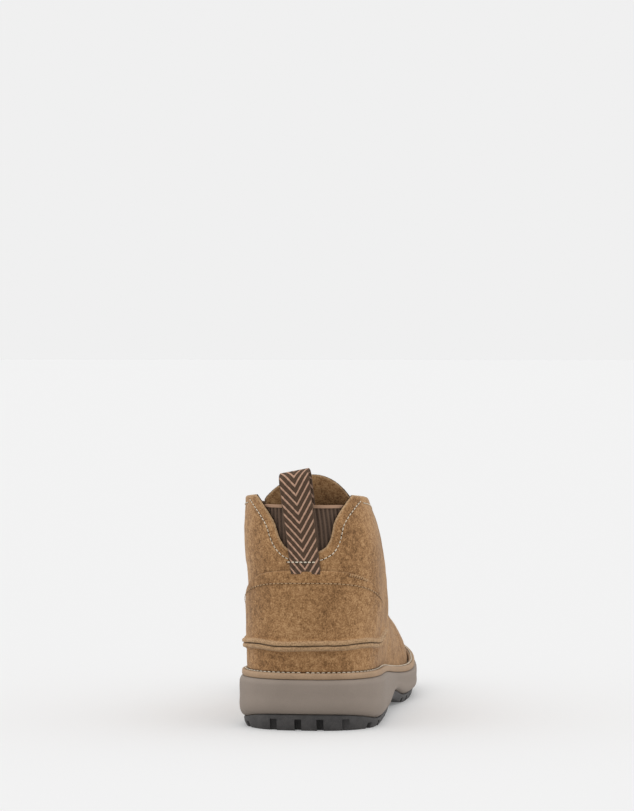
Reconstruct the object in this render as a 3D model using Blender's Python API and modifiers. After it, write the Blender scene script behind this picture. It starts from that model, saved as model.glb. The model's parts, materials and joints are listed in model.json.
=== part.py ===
import math

import bmesh
import bpy
import numpy as np
from mathutils import Matrix, Vector

# Sole sizes in metres
SOLE_LENGTH = 0.302
HEEL_WIDTH = 0.085
WAIST_WIDTH = 0.076
BALL_WIDTH = 0.104
TOE_WIDTH = 0.086
TOE_SWING = 0.012
HEEL_ROUND = 0.046
TOE_ROUND = 0.072
HEEL_STACK = 0.033
FOREFOOT_STACK = 0.022
TOE_SPRING = 0.013
SPRING_START = 0.66
ARCH_RISE = 0.006
ARCH_START = 0.27
ARCH_SPAN = 0.29
WEDGE_START = 0.12
WEDGE_SPAN = 0.5
OUTSOLE_THICKNESS = 0.005
OUTSOLE_HEEL_HEIGHT = 0.0093
OUTSOLE_KICK_LENGTH = 0.034
OUTSOLE_TUCK = 0.0025
OUTSOLE_DRAFT = 0.0012
WELT_THICKNESS = 0.0034
WELT_TUCK = 0.0014
WELT_GAP = 0.0009
WELT_ROUND = 0.0008
LUG_DEPTH = 0.0034
GROOVE_WIDTH = 0.004
HEEL_GROOVE_PITCH = 0.0145
FOREFOOT_GROOVE_PITCH = 0.0155
CHEVRON_REACH = 0.007
REAR_GROOVE_LENGTH = 0.009
REAR_GROOVE_HEIGHT = 0.0065
CUTTER_FLOOR = -0.01

# Upper sizes
UPPER_INSET = 0.006
WALL = 0.0022
INSTEP_RISE = 0.064
COLLAR_RISE = 0.0375
COLLAR_HEIGHT = 0.1360
COLLAR_WIDTH = 0.0720
COLLAR_LEAN = 0.003
INSTEP_LEAN = 0.0095
HEEL_CURVE_DEPTH = 0.0024
ANKLE_BLEND = 0.045
INSOLE_THICKNESS = 0.004
INSOLE_MARGIN = 0.0022
INSOLE_ROUND = 0.0012
COLLAR_FRONT = 0.345
SHAFT_FRONT = 0.33
SHAFT_FADE = 0.25

# Notch, throat and tongue sizes
NOTCH_DEPTH = 0.0345
NOTCH_TOP_WIDTH = 0.059
NOTCH_FOOT_WIDTH = 0.018
THROAT_TOP_WIDTH = 0.024
THROAT_FOOT_WIDTH = 0.012
THROAT_FRONT = 0.158
THROAT_REAR = 0.0815
THROAT_FLOOR = 0.055
THROAT_ROOF = 0.2
NOTCH_REAR = -0.02
NOTCH_FRONT = 0.034
TONGUE_WIDTH = 0.060
TONGUE_THICKNESS = 0.0032
TONGUE_GAP = 0.0008
TONGUE_PROUD = 0.0170
TONGUE_EDGE = 0.0012
TONGUE_FOOT_SHARE = 0.72

# Overlay, loop and lacing sizes
OVERLAY_THICKNESS = 0.0016
SEAM_HEIGHT = 0.0485
SEAM_PLY = 0.0024
SEAM_PROUD = 0.0019
SEAM_WAVE = 0.0006
HEEL_PANEL_HEIGHT = 0.0918
HEEL_PANEL_DROP = 0.0195
HEEL_PANEL_REACH = 0.068
HEEL_PANEL_TOP_REACH = 0.037
GORE_THICKNESS = 0.0014
GORE_HEIGHT = 0.0355
GORE_REACH = 0.024
GORE_BINDING = 0.0018
GORE_BELOW = 0.0067
GORE_BINDING_PROUD = 0.0006
LOOP_WIDTH = 0.0175
LOOP_THICKNESS = 0.0015
LOOP_HEIGHT = 0.0128
LOOP_GAP = 0.0120
LOOP_TAIL = 0.026
LOOP_LEAN = math.radians(7)
LOOP_TILT = 1.6
LOOP_PROUD = 0.0042
EYESTAY_WIDTH = 0.019
EYELET_EDGE = 0.0075
EYELET_HOLE = 0.0046
EYELET_FLANGE = 0.0084
EYELET_BARREL = 0.0042
EYELET_BORE = 0.0032
EYELET_LIP = 0.0008
EYELET_SEAT = 0.0006
LACE_DIAMETER = 0.003
DRILL_ABOVE = 0.006
DRILL_BELOW = 0.009
SPOT_STEP = 0.001
EYESTAY_GAP = 0.0006

# Clearance between two flat pieces that meet, and between two curved ones
FIT = 0.0003
CURVED_FIT = 0.0005

# Mesh fineness
STATIONS = 28
UPPER_ROWS = 16
HEEL_COLUMNS = 24
LOOP_COLUMNS = 5
LACE_POINTS = 7
EYELET_SIDES = 10
DRILL_SIDES = 12

# Share of length, width, swing of the centre line towards the toe
SOLE_PLAN = (
    (0.00, HEEL_WIDTH, 0.00),
    (0.14, HEEL_WIDTH, 0.00),
    (0.40, WAIST_WIDTH, -0.28),
    (0.66, BALL_WIDTH, 0.50),
    (1.00, TOE_WIDTH, 1.00),
)
# Height share of the midsole's side, distance in from its widest line
MIDSOLE_SIDE = (
    (0.00, 0.0030),
    (0.10, 0.0010),
    (0.24, 0.0001),
    (0.84, 0.0000),
    (0.95, 0.0008),
    (1.00, 0.0015),
)
# Ring number share, share of length, share of instep rise, share of collar rise
RIDGE = (
    (0.00, 0.9801, 0.000, 0.00),
    (0.04, 0.9750, 0.160, 0.00),
    (0.09, 0.9580, 0.310, 0.00),
    (0.14, 0.9300, 0.430, 0.00),
    (0.20, 0.8800, 0.550, 0.00),
    (0.30, 0.8000, 0.655, 0.00),
    (0.41, 0.7200, 0.745, 0.00),
    (0.52, 0.6400, 0.840, 0.00),
    (0.61, 0.5800, 0.920, 0.00),
    (0.70, 0.5200, 1.000, 0.00),
    (0.79, 0.4600, 1.000, 0.22),
    (0.87, 0.4100, 1.000, 0.45),
    (0.94, 0.3700, 1.000, 0.73),
    (1.00, COLLAR_FRONT, 1.000, 1.00),
    (1.08, 0.3280, 1.000, 1.34),
    (1.20, 0.3080, 1.000, 1.92),
    (1.50, 0.2500, 1.000, 3.50),
    (2.00, 0.1500, 1.000, 6.30),
    (3.00, 0.0000, 1.000, 10.6),
)
# Height share, set-back share of the heel's curve
HEEL_CURVE = (
    (0.00, 0.00),
    (0.28, -1.00),
    (0.62, -0.25),
    (0.85, 0.50),
    (1.00, 0.90),
    (1.30, 1.30),
)
# Height share of the shaft, share of heel width, share of collar width, lean share
SHAFT = (
    (0.00, 1.00, 0.00, 0.00),
    (0.20, 1.03, 0.00, 0.00),
    (0.50, 0.59, 0.48, -0.25),
    (0.75, 0.30, 0.79, 0.25),
    (1.00, 0.00, 1.00, 1.00),
    (1.30, 0.00, 1.02, 1.30),
)
# Height share of the notch, width share between its foot and its top
NOTCH = ((0.00, 0.00), (0.17, 0.22), (0.56, 0.46), (0.90, 0.86), (1.00, 1.00), (1.30, 1.25))
# Ring number of the tongue's and the eyestay's lower end, and of each eyelet pair
TONGUE_START = 0.52
EYESTAY_START = 0.68
EYELET_RINGS = (0.775, 0.855, 0.935)
# Across share of the heel's rear grooves
REAR_GROOVES = (-0.44, -0.10, 0.20, 0.54)
GROOVE_AHEAD = 0.012
HEEL_GROOVES = 5
FOREFOOT_START = 0.545
FOREFOOT_GROOVES = 8

HEEL_POWER = 2.6
SHAFT_HEEL_POWER = 2.1
TOE_POWER = 2.3
VAMP_POWER = 1.8
SHAFT_POWER = 3.2

SUEDE = (0.31, 0.17, 0.075)
WEBBING = (0.075, 0.042, 0.026)
ELASTIC = (0.055, 0.036, 0.026)
TAUPE = (0.26, 0.205, 0.165)
TAN = (0.40, 0.27, 0.17)
RUBBER = (0.035, 0.031, 0.030)
BRONZE = (0.16, 0.12, 0.08)


def smooth(rows, column, at):
    """Soft curve through one column of a table."""
    x = np.array([row[0] for row in rows], float)
    y = np.array([row[column] for row in rows], float)
    slope = np.gradient(y, x)
    at = np.clip(at, x[0], x[-1])
    i = np.clip(np.searchsorted(x, at, side="right") - 1, 0, len(x) - 2)
    span = x[i + 1] - x[i]
    s = (at - x[i]) / span
    near = (1 + 2 * s) * (1 - s) ** 2 * y[i] + s * (1 - s) ** 2 * span * slope[i]
    far = s * s * (3 - 2 * s) * y[i + 1] + s * s * (s - 1) * span * slope[i + 1]
    return near + far


def ease(share):
    s = np.clip(share, 0, 1)
    return s * s * (3 - 2 * s)


def mix(a, b, share):
    return a + (b - a) * share


def round_end(share, power):
    """Width share of a rounded end, 0 at its tip and 1 from its full width on."""
    s = np.clip(share, 0, 1)
    return (1 - (1 - s) ** power) ** (1 / power)


# Side view lines of the sole, each a height at a distance from the heel's back
def ground_line(y):
    return TOE_SPRING * np.clip((y / SOLE_LENGTH - SPRING_START) / (1 - SPRING_START), 0, 1) ** 1.8


def sole_bottom(y):
    arch = np.clip((y / SOLE_LENGTH - ARCH_START) / ARCH_SPAN, 0, 1)
    return ground_line(y) + ARCH_RISE * np.sin(np.pi * arch) ** 2


def welt_top(y):
    share = (y / SOLE_LENGTH - WEDGE_START) / WEDGE_SPAN
    return ground_line(y) + mix(HEEL_STACK, FOREFOOT_STACK, ease(share))


def midsole_top(y):
    return welt_top(y) - WELT_THICKNESS - FIT


def outsole_top(y):
    kick = (OUTSOLE_HEEL_HEIGHT - OUTSOLE_THICKNESS) * (1 - ease(y / OUTSOLE_KICK_LENGTH))
    return sole_bottom(y) + OUTSOLE_THICKNESS + kick


def midsole_bottom(y):
    return outsole_top(y) + FIT


def feather_line(y):
    return midsole_top(y) + FIT


def stations(count):
    return (1 - np.cos(np.linspace(0, np.pi, count + 1))) / 2


def sole_centre(y):
    return -TOE_SWING * smooth(SOLE_PLAN, 2, y / SOLE_LENGTH)


def round_trip(centre, half, y, z):
    """Closed ring, up the lateral side and back down the medial side."""
    lateral = np.stack([centre + half, y, z], axis=-1)
    medial = np.stack([centre - half, y, z], axis=-1)
    return np.concatenate([lateral, medial[-2:0:-1]])


def sole_ring(inset, height):
    """Outline of the sole drawn in by an inset, at the heights that a function gives."""
    y = inset + (SOLE_LENGTH - 2 * inset) * stations(STATIONS)
    half = smooth(SOLE_PLAN, 1, y / SOLE_LENGTH) / 2 - inset
    half = half * round_end((y - inset) / (HEEL_ROUND - inset), HEEL_POWER)
    half = half * round_end((SOLE_LENGTH - inset - y) / (TOE_ROUND - inset), TOE_POWER)
    return round_trip(sole_centre(y), half, y, height(y))


def middle_of_sole():
    ring = sole_ring(0, sole_bottom)
    return (ring[:, 0].max() + ring[:, 0].min()) / 2


# The upper's surface, a half width and a centre at each side view point
def heel_back(z):
    share = (z - feather_line(0)) / (COLLAR_HEIGHT - feather_line(0))
    return UPPER_INSET + HEEL_CURVE_DEPTH * smooth(HEEL_CURVE, 1, share)


def ridge(ring):
    y = SOLE_LENGTH * smooth(RIDGE, 1, ring)
    z = feather_line(y) + INSTEP_RISE * smooth(RIDGE, 2, ring) + COLLAR_RISE * smooth(RIDGE, 3, ring)
    return y, z


def ridge_height(y):
    line_y, line_z = ridge(np.linspace(RIDGE[-1][0], 0, 400))
    return np.interp(y, line_y, line_z)


def shaft_share(y):
    return 1 - ease((y / SOLE_LENGTH - SHAFT_FRONT) / SHAFT_FADE)


def upper_shape(y, z):
    """Centre and half width of the upper at side view points."""
    base = feather_line(y)
    foot = smooth(SOLE_PLAN, 1, y / SOLE_LENGTH) / 2 - UPPER_INSET
    rise = np.clip((z - base) / (COLLAR_HEIGHT - base), 0, 1.3)
    heel_half = HEEL_WIDTH / 2 - UPPER_INSET
    shaft = heel_half * smooth(SHAFT, 1, rise) + COLLAR_WIDTH / 2 * smooth(SHAFT, 2, rise)
    forward = y / (COLLAR_FRONT * SOLE_LENGTH)
    lean = -COLLAR_LEAN * smooth(SHAFT, 3, rise) - INSTEP_LEAN * rise**3 * forward**2
    blend = shaft_share(y) * ease((z - base) / ANKLE_BLEND)
    centre = mix(sole_centre(y), lean, blend)
    half = mix(foot, shaft, blend)
    top = np.maximum(ridge_height(y) - base, 1e-6)
    power = mix(VAMP_POWER, SHAFT_POWER, shaft_share(y))
    closing = (1 - np.clip((z - base) / top, 0, 1) ** power) ** (1 / power)
    heel_power = mix(HEEL_POWER, SHAFT_HEEL_POWER, ease(rise / 0.35))
    back = round_end((y - heel_back(z)) / (HEEL_ROUND - UPPER_INSET), heel_power)
    toe = round_end((SOLE_LENGTH - UPPER_INSET - y) / (TOE_ROUND - UPPER_INSET), TOE_POWER)
    return centre, half * closing * back * toe


def side_view(along, ring):
    """Side view point of a ring, from the heel's back (0) to the ridge (1)."""
    low_y = mix(heel_back(feather_line(0)), SOLE_LENGTH - UPPER_INSET, along)
    low_z = feather_line(low_y)
    high_y, high_z = ridge(1.0)
    rear_y = heel_back(COLLAR_HEIGHT)
    top_y = mix(rear_y, high_y, along)
    top_z = mix(COLLAR_HEIGHT, high_z, along)
    back_z = mix(feather_line(0), COLLAR_HEIGHT, ring)
    back_y = heel_back(back_z)
    front_y, front_z = ridge(ring)
    corner_y = mix(mix(low_y[0], low_y[-1], along), mix(rear_y, high_y, along), ring)
    corner_z = mix(mix(low_z[0], low_z[-1], along), mix(COLLAR_HEIGHT, high_z, along), ring)
    y = mix(low_y, top_y, ring) + mix(back_y, front_y, along) - corner_y
    z = mix(low_z, top_z, ring) + mix(back_z, front_z, along) - corner_z
    return y, z


def upper_ring(ring):
    y, z = side_view(stations(STATIONS), ring)
    centre, half = upper_shape(y, z)
    half[0] = 0
    half[-1] = 0
    return round_trip(centre, half, y, z)


def normals(grid, closed):
    """Unit normals of a grid of points, outwards for rings that run round the upper."""
    if closed:
        wide = np.concatenate([grid[:, -1:], grid, grid[:, :1]], axis=1)
        across = np.gradient(wide, axis=1)[:, 1:-1]
    else:
        across = np.gradient(grid, axis=1)
    normal = np.cross(across, np.gradient(grid, axis=0))
    return normal / np.linalg.norm(normal, axis=-1, keepdims=True)


def level(normal):
    """The same normals laid flat, for an edge that has to stay on its plane."""
    flat = normal * np.array([1, 1, 0])
    return flat / np.linalg.norm(flat, axis=-1, keepdims=True)


def instep_row(ring, across):
    """Points of a ring at distances across from the ridge, lateral ones positive."""
    y, z = side_view(stations(240), ring)
    centre, half = upper_shape(y, z)
    half[-1] = 0
    line = np.stack([centre, y, z], axis=-1)[::-1]
    half = half[::-1]
    last = int(np.argmax(half)) + 1
    point = [np.interp(np.abs(across), half[:last], line[:last, axis]) for axis in range(3)]
    return np.stack([point[0] + across, point[1], point[2]], axis=-1)


def instep_grid(rings, across_of):
    return np.array([instep_row(ring, across_of(ring)) for ring in rings])


def heel_grid(shares, reach_of, height_of):
    """Grid of points round the heel, with a row for each share of a panel's height."""
    turn = np.linspace(-1, 1, HEEL_COLUMNS + 1)
    rows = []
    for share in shares:
        depth = reach_of(share) * (1 - np.cos(np.abs(turn) * np.pi / 2))
        z = height_of(share, depth)
        y = heel_back(z) + depth
        centre, half = upper_shape(y, z)
        half = half * (depth > 0)
        rows.append(np.stack([centre + np.sign(turn) * half, y, z], axis=-1))
    return np.array(rows)


def collection(name):
    made = bpy.data.collections.new(name)
    bpy.context.scene.collection.children.link(made)
    return made


def material(name, colour, roughness, metallic=0.0):
    made = bpy.data.materials.new(name)
    made.use_nodes = True
    shader = made.node_tree.nodes["Principled BSDF"]
    shader.inputs["Base Color"].default_value = (*colour, 1)
    shader.inputs["Roughness"].default_value = roughness
    shader.inputs["Metallic"].default_value = metallic
    return made


def solid(name, points, faces, finish, home):
    """Object of a closed mesh with its faces turned out, moved to the part's origin."""
    mesh = bpy.data.meshes.new(name)
    mesh.from_pydata([tuple(point) for point in points], [], faces)
    shaped = bmesh.new()
    shaped.from_mesh(mesh)
    bmesh.ops.remove_doubles(shaped, verts=shaped.verts, dist=1e-7)
    bmesh.ops.recalc_face_normals(shaped, faces=shaped.faces)
    bmesh.ops.triangulate(shaped, faces=shaped.faces)
    bmesh.ops.translate(shaped, verts=shaped.verts, vec=Vector((-middle_of_sole(), -SOLE_LENGTH / 2, 0)))
    shaped.to_mesh(mesh)
    shaped.free()
    made = bpy.data.objects.new(name, mesh)
    if finish:
        mesh.materials.append(finish)
        mesh.shade_smooth()
        mesh.set_sharp_from_angle(angle=math.radians(40))
    home.objects.link(made)
    return made


def cap(first, size, shift):
    """Strip of faces that closes a ring, each point joined to its mate across."""
    faces = []
    for i in range(size // 2):
        corners = [i, i + 1, (shift - i - 1) % size, (shift - i) % size]
        kept = list(dict.fromkeys(corners))
        if len(kept) > 2:
            faces.append([first + corner for corner in kept])
    return faces


def loft(name, rings, finish, home, looped=False, shift=0):
    """Solid through rings of equal size, closed on itself or capped at both ends."""
    rings = np.asarray(rings)
    count, size = rings.shape[:2]
    faces = []
    for row in range(count if looped else count - 1):
        low = row * size
        high = (row + 1) % count * size
        for i in range(size):
            j = (i + 1) % size
            faces.append([low + i, low + j, high + j, high + i])
    if not looped:
        faces += cap(0, size, shift)
        faces += cap((count - 1) * size, size, shift)
    return solid(name, rings.reshape(-1, 3), faces, finish, home)


def shell(name, grid, inner, outer, finish, home):
    """Overlay between two offsets of a grid, the outer one with a value for each row."""
    away = normals(grid, closed=False)
    outer = np.broadcast_to(outer, len(grid)).reshape(-1, 1, 1)
    inner = np.broadcast_to(inner, len(grid)).reshape(-1, 1, 1)
    skin = grid + away * outer
    lining = grid + away * inner
    return loft(name, np.concatenate([skin, lining[:, ::-1]], axis=1), finish, home, shift=-1)


def prism(name, outline, low, high, home):
    """Cutter with a flat outline at two heights."""
    outline = np.asarray(outline, float)
    size = len(outline)
    floor = np.column_stack([outline, np.broadcast_to(low, size)])
    roof = np.column_stack([outline, np.broadcast_to(high, size)])
    faces = [list(range(size)), list(range(size, 2 * size))]
    faces += [[i, (i + 1) % size, size + (i + 1) % size, size + i] for i in range(size)]
    return hide(solid(name, np.concatenate([floor, roof]), faces, None, home))


def hide(made):
    made.hide_render = True
    made.display_type = "WIRE"
    return made


def cut(target, cutter):
    change = target.modifiers.new("cut_" + cutter.name, "BOOLEAN")
    change.operation = "DIFFERENCE"
    change.solver = "EXACT"
    change.object = cutter


def place(made, point, normal):
    """Stands an object on a point of the upper, its own Z along the normal."""
    origin = Vector((-middle_of_sole(), -SOLE_LENGTH / 2, 0))
    turn = Vector(normal).to_track_quat("Z", "Y").to_matrix().to_4x4()
    made.matrix_world = Matrix.Translation(Vector(point) + origin) @ turn


# Sole
def chevron(name, y, height, cutters):
    """Groove cutter across the sole, bent forward at the middle."""
    half = BALL_WIDTH
    width = GROOVE_WIDTH / 2
    centre = float(sole_centre(y))
    lean = CHEVRON_REACH * half / (HEEL_WIDTH / 2)
    outline = [
        (centre - half, y - lean - width),
        (centre, y - width),
        (centre + half, y - lean - width),
        (centre + half, y - lean + width),
        (centre, y + width),
        (centre - half, y - lean + width),
    ]
    return prism(name, outline, CUTTER_FLOOR, height, cutters)


def build_outsole(home, cutters, finish):
    outsole = loft(
        "outsole",
        [
            sole_ring(OUTSOLE_TUCK + OUTSOLE_DRAFT, sole_bottom),
            sole_ring(OUTSOLE_TUCK + OUTSOLE_DRAFT / 3, lambda y: mix(sole_bottom(y), outsole_top(y), 0.45)),
            sole_ring(OUTSOLE_TUCK, outsole_top),
        ],
        finish,
        home,
    )
    heel = [GROOVE_AHEAD + i * HEEL_GROOVE_PITCH for i in range(1, HEEL_GROOVES)]
    first = FOREFOOT_START * SOLE_LENGTH
    forefoot = [first + i * FOREFOOT_GROOVE_PITCH for i in range(FOREFOOT_GROOVES)]
    for number, y in enumerate(heel + forefoot, 1):
        cut(outsole, chevron(f"groove_{number}", y, float(sole_bottom(y)) + LUG_DEPTH, cutters))
    for number, across in enumerate(REAR_GROOVES, 1):
        x = across * HEEL_WIDTH / 2
        outline = [
            (x - GROOVE_WIDTH / 2, CUTTER_FLOOR),
            (x + GROOVE_WIDTH / 2, CUTTER_FLOOR),
            (x + GROOVE_WIDTH / 2, REAR_GROOVE_LENGTH),
            (x - GROOVE_WIDTH / 2, REAR_GROOVE_LENGTH),
        ]
        cut(outsole, prism(f"rear_groove_{number}", outline, CUTTER_FLOOR, REAR_GROOVE_HEIGHT, cutters))


def build_midsole(home, finish):
    rings = []
    for share, inset in MIDSOLE_SIDE:
        rings.append(sole_ring(inset, lambda y, s=share: mix(midsole_bottom(y), midsole_top(y), s)))
    loft("midsole", rings, finish, home)


def build_welt(home, finish):
    inside = UPPER_INSET - WELT_GAP
    rings = [
        sole_ring(UPPER_INSET - CURVED_FIT, feather_line),
        sole_ring(WELT_TUCK, feather_line),
        sole_ring(WELT_TUCK + WELT_ROUND / 4, lambda y: welt_top(y) - WELT_ROUND),
        sole_ring(WELT_TUCK + WELT_ROUND, welt_top),
        sole_ring(inside, welt_top),
    ]
    loft("welt", rings, finish, home, looped=True)


def build_insole(home, finish):
    edge = UPPER_INSET + WALL + INSOLE_MARGIN
    rings = [
        sole_ring(edge, feather_line),
        sole_ring(edge, lambda y: feather_line(y) + INSOLE_THICKNESS - INSOLE_ROUND),
        sole_ring(edge + INSOLE_ROUND, lambda y: feather_line(y) + INSOLE_THICKNESS),
    ]
    loft("insole", rings, finish, home)


# Upper
def upper_rows(low=0.0, high=1.0):
    """Ring numbers of the upper's rows between two of them."""
    rows = np.linspace(0, 1, UPPER_ROWS + 1)
    return rows[(rows >= low - 1e-9) & (rows <= high + 1e-9)]


def build_upper(home, cutters, finish):
    rings = np.array([upper_ring(ring) for ring in upper_rows()])
    away = normals(rings, closed=True)
    away[0] = level(away[0])
    away[-1] = level(away[-1])
    lining = rings - away * WALL
    upper = loft("upper", np.concatenate([rings, lining[::-1]]), finish, home, looped=True)
    cut(upper, notch_cutter(cutters))
    cut(upper, throat_cutter(cutters))
    return upper


def notch_cutter(cutters):
    """V shape cut from behind, on its side so that its outline lies across the heel."""
    foot = COLLAR_HEIGHT - NOTCH_DEPTH
    half = mix(NOTCH_FOOT_WIDTH, NOTCH_TOP_WIDTH, np.array([row[1] for row in NOTCH])) / 2
    lean = -COLLAR_LEAN * np.array([row[0] for row in NOTCH])
    z = foot + NOTCH_DEPTH * np.array([row[0] for row in NOTCH])
    x = np.concatenate([lean + half, (lean - half)[::-1]])
    z = np.concatenate([z, z[::-1]])
    size = len(x)
    near = np.stack([x, np.full(size, NOTCH_REAR), z], axis=-1)
    far = np.stack([x, np.full(size, NOTCH_FRONT), z], axis=-1)
    faces = [list(range(size)), list(range(size, 2 * size))]
    faces += [[i, (i + 1) % size, size + (i + 1) % size, size + i] for i in range(size)]
    return hide(solid("notch", np.concatenate([near, far]), faces, None, cutters))


def throat_cutter(cutters):
    """Slot from above through the front of the collar, with a round end on the instep."""
    along = np.linspace(THROAT_REAR, THROAT_FRONT - THROAT_FOOT_WIDTH / 2, 6)
    half = throat_half(along)
    middle = throat_centre(along)
    turn = np.linspace(0, np.pi, 7)[1:-1]
    end_x = middle[-1] + half[-1] * np.cos(turn)
    end_y = along[-1] + half[-1] * np.sin(turn)
    x = np.concatenate([middle + half, end_x, (middle - half)[::-1]])
    y = np.concatenate([along, end_y, along[::-1]])
    return prism("throat", np.stack([x, y], axis=-1), THROAT_FLOOR, THROAT_ROOF, cutters)


def throat_half(y):
    share = np.clip((y - THROAT_REAR) / (THROAT_FRONT - THROAT_REAR), 0, 1)
    return mix(THROAT_TOP_WIDTH, THROAT_FOOT_WIDTH, share) / 2


def throat_centre(y):
    return upper_shape(y, np.minimum(ridge_height(y), ridge(1.0)[1]))[0]


def column_point(column, z):
    """Point of a rising column of points at a height."""
    return [np.interp(z, column[:, 2], column[:, axis]) for axis in range(3)]


def build_tongue(home, finish):
    turn = np.linspace(-1, 1, 11)
    first = upper_rows(TONGUE_START)[0]

    def across(ring):
        spread = mix(TONGUE_FOOT_SHARE, 1.0, ease((ring - first) / (1 - first) * 1.4))
        return TONGUE_WIDTH / 2 * spread * turn

    low = instep_grid(upper_rows(TONGUE_START), across)
    above = instep_grid(np.linspace(1, 1.4, 9), across)
    level_rise = above[0, :, 2] - above[0, :, 2].min()
    arch = (1 - np.abs(turn) ** 2.2) ** 0.8
    lift = np.maximum((TONGUE_PROUD - level_rise) * arch, 0) + TONGUE_EDGE
    rows = []
    for share in (0.3, 0.65, 1):
        z = above[0, :, 2] + share * lift
        rows.append([column_point(above[:, i], z[i]) for i in range(len(turn))])
    grid = np.concatenate([low, np.array(rows)])
    face = WALL + TONGUE_GAP
    shell("tongue", grid[:, ::-1], -(face + TONGUE_THICKNESS), -face, finish, home)


# Overlays of the heel
def seam_height(depth):
    return SEAM_HEIGHT + SEAM_WAVE * np.sin(depth / HEEL_PANEL_REACH * 9)


def build_heel_panel(home, finish):
    def reach(share):
        return mix(HEEL_PANEL_REACH, HEEL_PANEL_TOP_REACH, share)

    def height(share, depth):
        top = HEEL_PANEL_HEIGHT - HEEL_PANEL_DROP * (depth / reach(share)) ** 1.5
        return mix(seam_height(depth) + FIT / 2, top, share)

    ply = SEAM_PLY / (HEEL_PANEL_HEIGHT - SEAM_HEIGHT)
    shares = (0, ply, ply * 1.15, 0.3, 0.55, 0.8, 1)
    grid = heel_grid(shares, reach, height)
    skin = CURVED_FIT + OVERLAY_THICKNESS + SEAM_PROUD * np.array([1, 1, 0, 0, 0, 0, 0])
    shell("heel_panel", grid, CURVED_FIT, skin, finish, home)


def build_heel_foxing(home, finish):
    def height(share, depth):
        return mix(welt_top(depth + heel_back(HEEL_STACK)) + FIT, seam_height(depth) - FIT / 2, share)

    ply = SEAM_PLY / (SEAM_HEIGHT - HEEL_STACK)
    shares = (0, 0.5, 1 - ply * 1.15, 1 - ply, 1)
    grid = heel_grid(shares, lambda share: HEEL_PANEL_REACH, height)
    skin = CURVED_FIT + OVERLAY_THICKNESS + SEAM_PROUD * np.array([0, 0, 0, 1, 1])
    shell("heel_foxing", grid, CURVED_FIT, skin, finish, home)


def build_rear_gore(home, finish):
    top = COLLAR_HEIGHT - GORE_BELOW

    def height(share, depth):
        return mix(top - GORE_HEIGHT, top, share) + 0 * depth

    edge = GORE_BINDING / GORE_HEIGHT
    shares = (0, 0.5, 1 - edge * 1.2, 1 - edge, 1)
    grid = heel_grid(shares, lambda share: GORE_REACH, height)
    near = WALL + CURVED_FIT
    lining = near + GORE_THICKNESS + GORE_BINDING_PROUD * np.array([0, 0, 0, 1, 1])
    shell("rear_gore", grid, -lining, -near, finish, home)


def build_pull_loop(home, finish):
    """Webbing up the outside of the heel, over its fold and down inside the gore."""
    half = LOOP_THICKNESS / 2
    foot = HEEL_PANEL_HEIGHT + FIT
    crown = COLLAR_HEIGHT + LOOP_HEIGHT - half
    turn = LOOP_GAP / 2
    rise = np.array([0, 0.12, 0.24, 0.40, 0.58, 0.78, 1])
    up_z = mix(foot, crown - turn, rise)
    fold_y = heel_back(COLLAR_HEIGHT) - LOOP_PROUD + turn
    up_y = mix(heel_back(up_z) - FIT - half, fold_y - turn, ease((rise - 0.12) / 0.7))
    angle = np.linspace(np.pi, 0, 9)[1:-1]
    down = np.linspace(0, 1, 5)
    down_z = mix(crown - turn, COLLAR_HEIGHT - LOOP_TAIL, down)
    y = np.concatenate([up_y, fold_y + turn * np.cos(angle), np.full(5, fold_y + turn)])
    z = np.concatenate([up_z, crown - turn + turn * np.sin(angle), down_z])
    hug = np.concatenate([1 - ease((rise - 0.1) / 0.5), np.zeros(7), 0.5 * ease(down * 1.6)])
    slope = np.gradient(np.stack([y, z], axis=-1), axis=0)
    slope = slope / np.linalg.norm(slope, axis=-1, keepdims=True)
    across = LOOP_WIDTH / 2 * np.linspace(-1, 1, LOOP_COLUMNS)
    bend = HEEL_ROUND * (1 - (1 - (np.abs(across) / (HEEL_WIDTH / 2)) ** HEEL_POWER) ** (1 / HEEL_POWER))
    tilt = LOOP_TILT * math.tan(LOOP_LEAN) * ease((z - foot) / (crown - foot))
    rings = []
    for row in range(len(y)):
        x = across - math.tan(LOOP_LEAN) * (z[row] - foot)
        side = []
        for away in (half, -half):
            point_y = y[row] - away * slope[row, 1] + hug[row] * bend
            point_z = z[row] + away * slope[row, 0] + across * tilt[row]
            side.append(np.stack([x, point_y, point_z], axis=-1))
        rings.append(np.concatenate([side[0], side[1][::-1]]))
    loft("pull_loop", rings, finish, home, shift=-1)


# Eyestays, eyelets and lace
def throat_edge(ring):
    """Half width of the throat at a ring."""
    return throat_half(ridge(ring)[0])


def eyelet_spot(ring, side):
    """Point on the upper under an eyelet, and the way out of the surface there."""
    across = side * (throat_edge(ring) + EYELET_EDGE)
    return surface_spot(ring, across)


def surface_spot(ring, across):
    """Point of the upper at a ring and a distance across, and the way out there."""
    near = across + SPOT_STEP * np.array([-1, 0, 1])
    grid = np.array([instep_row(row, near) for row in (ring - 0.01, ring, ring + 0.01)])
    away = normals(grid[:, ::-1], closed=False)
    return grid[1, 1], away[1, 1]


def build_eyestay(name, side, home, finish):
    rings = upper_rows(EYESTAY_START)

    def across(ring):
        tip = 0.55 + 0.45 * round_end((ring - EYESTAY_START + 0.02) / 0.12, 2)
        edge = throat_edge(ring) + EYESTAY_GAP
        return side * np.linspace(edge, edge + EYESTAY_WIDTH * tip, 6)

    grid = instep_grid(rings, across)
    if side > 0:
        grid = grid[:, ::-1]
    return shell(name, grid, CURVED_FIT, CURVED_FIT + OVERLAY_THICKNESS, finish, home)


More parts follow.
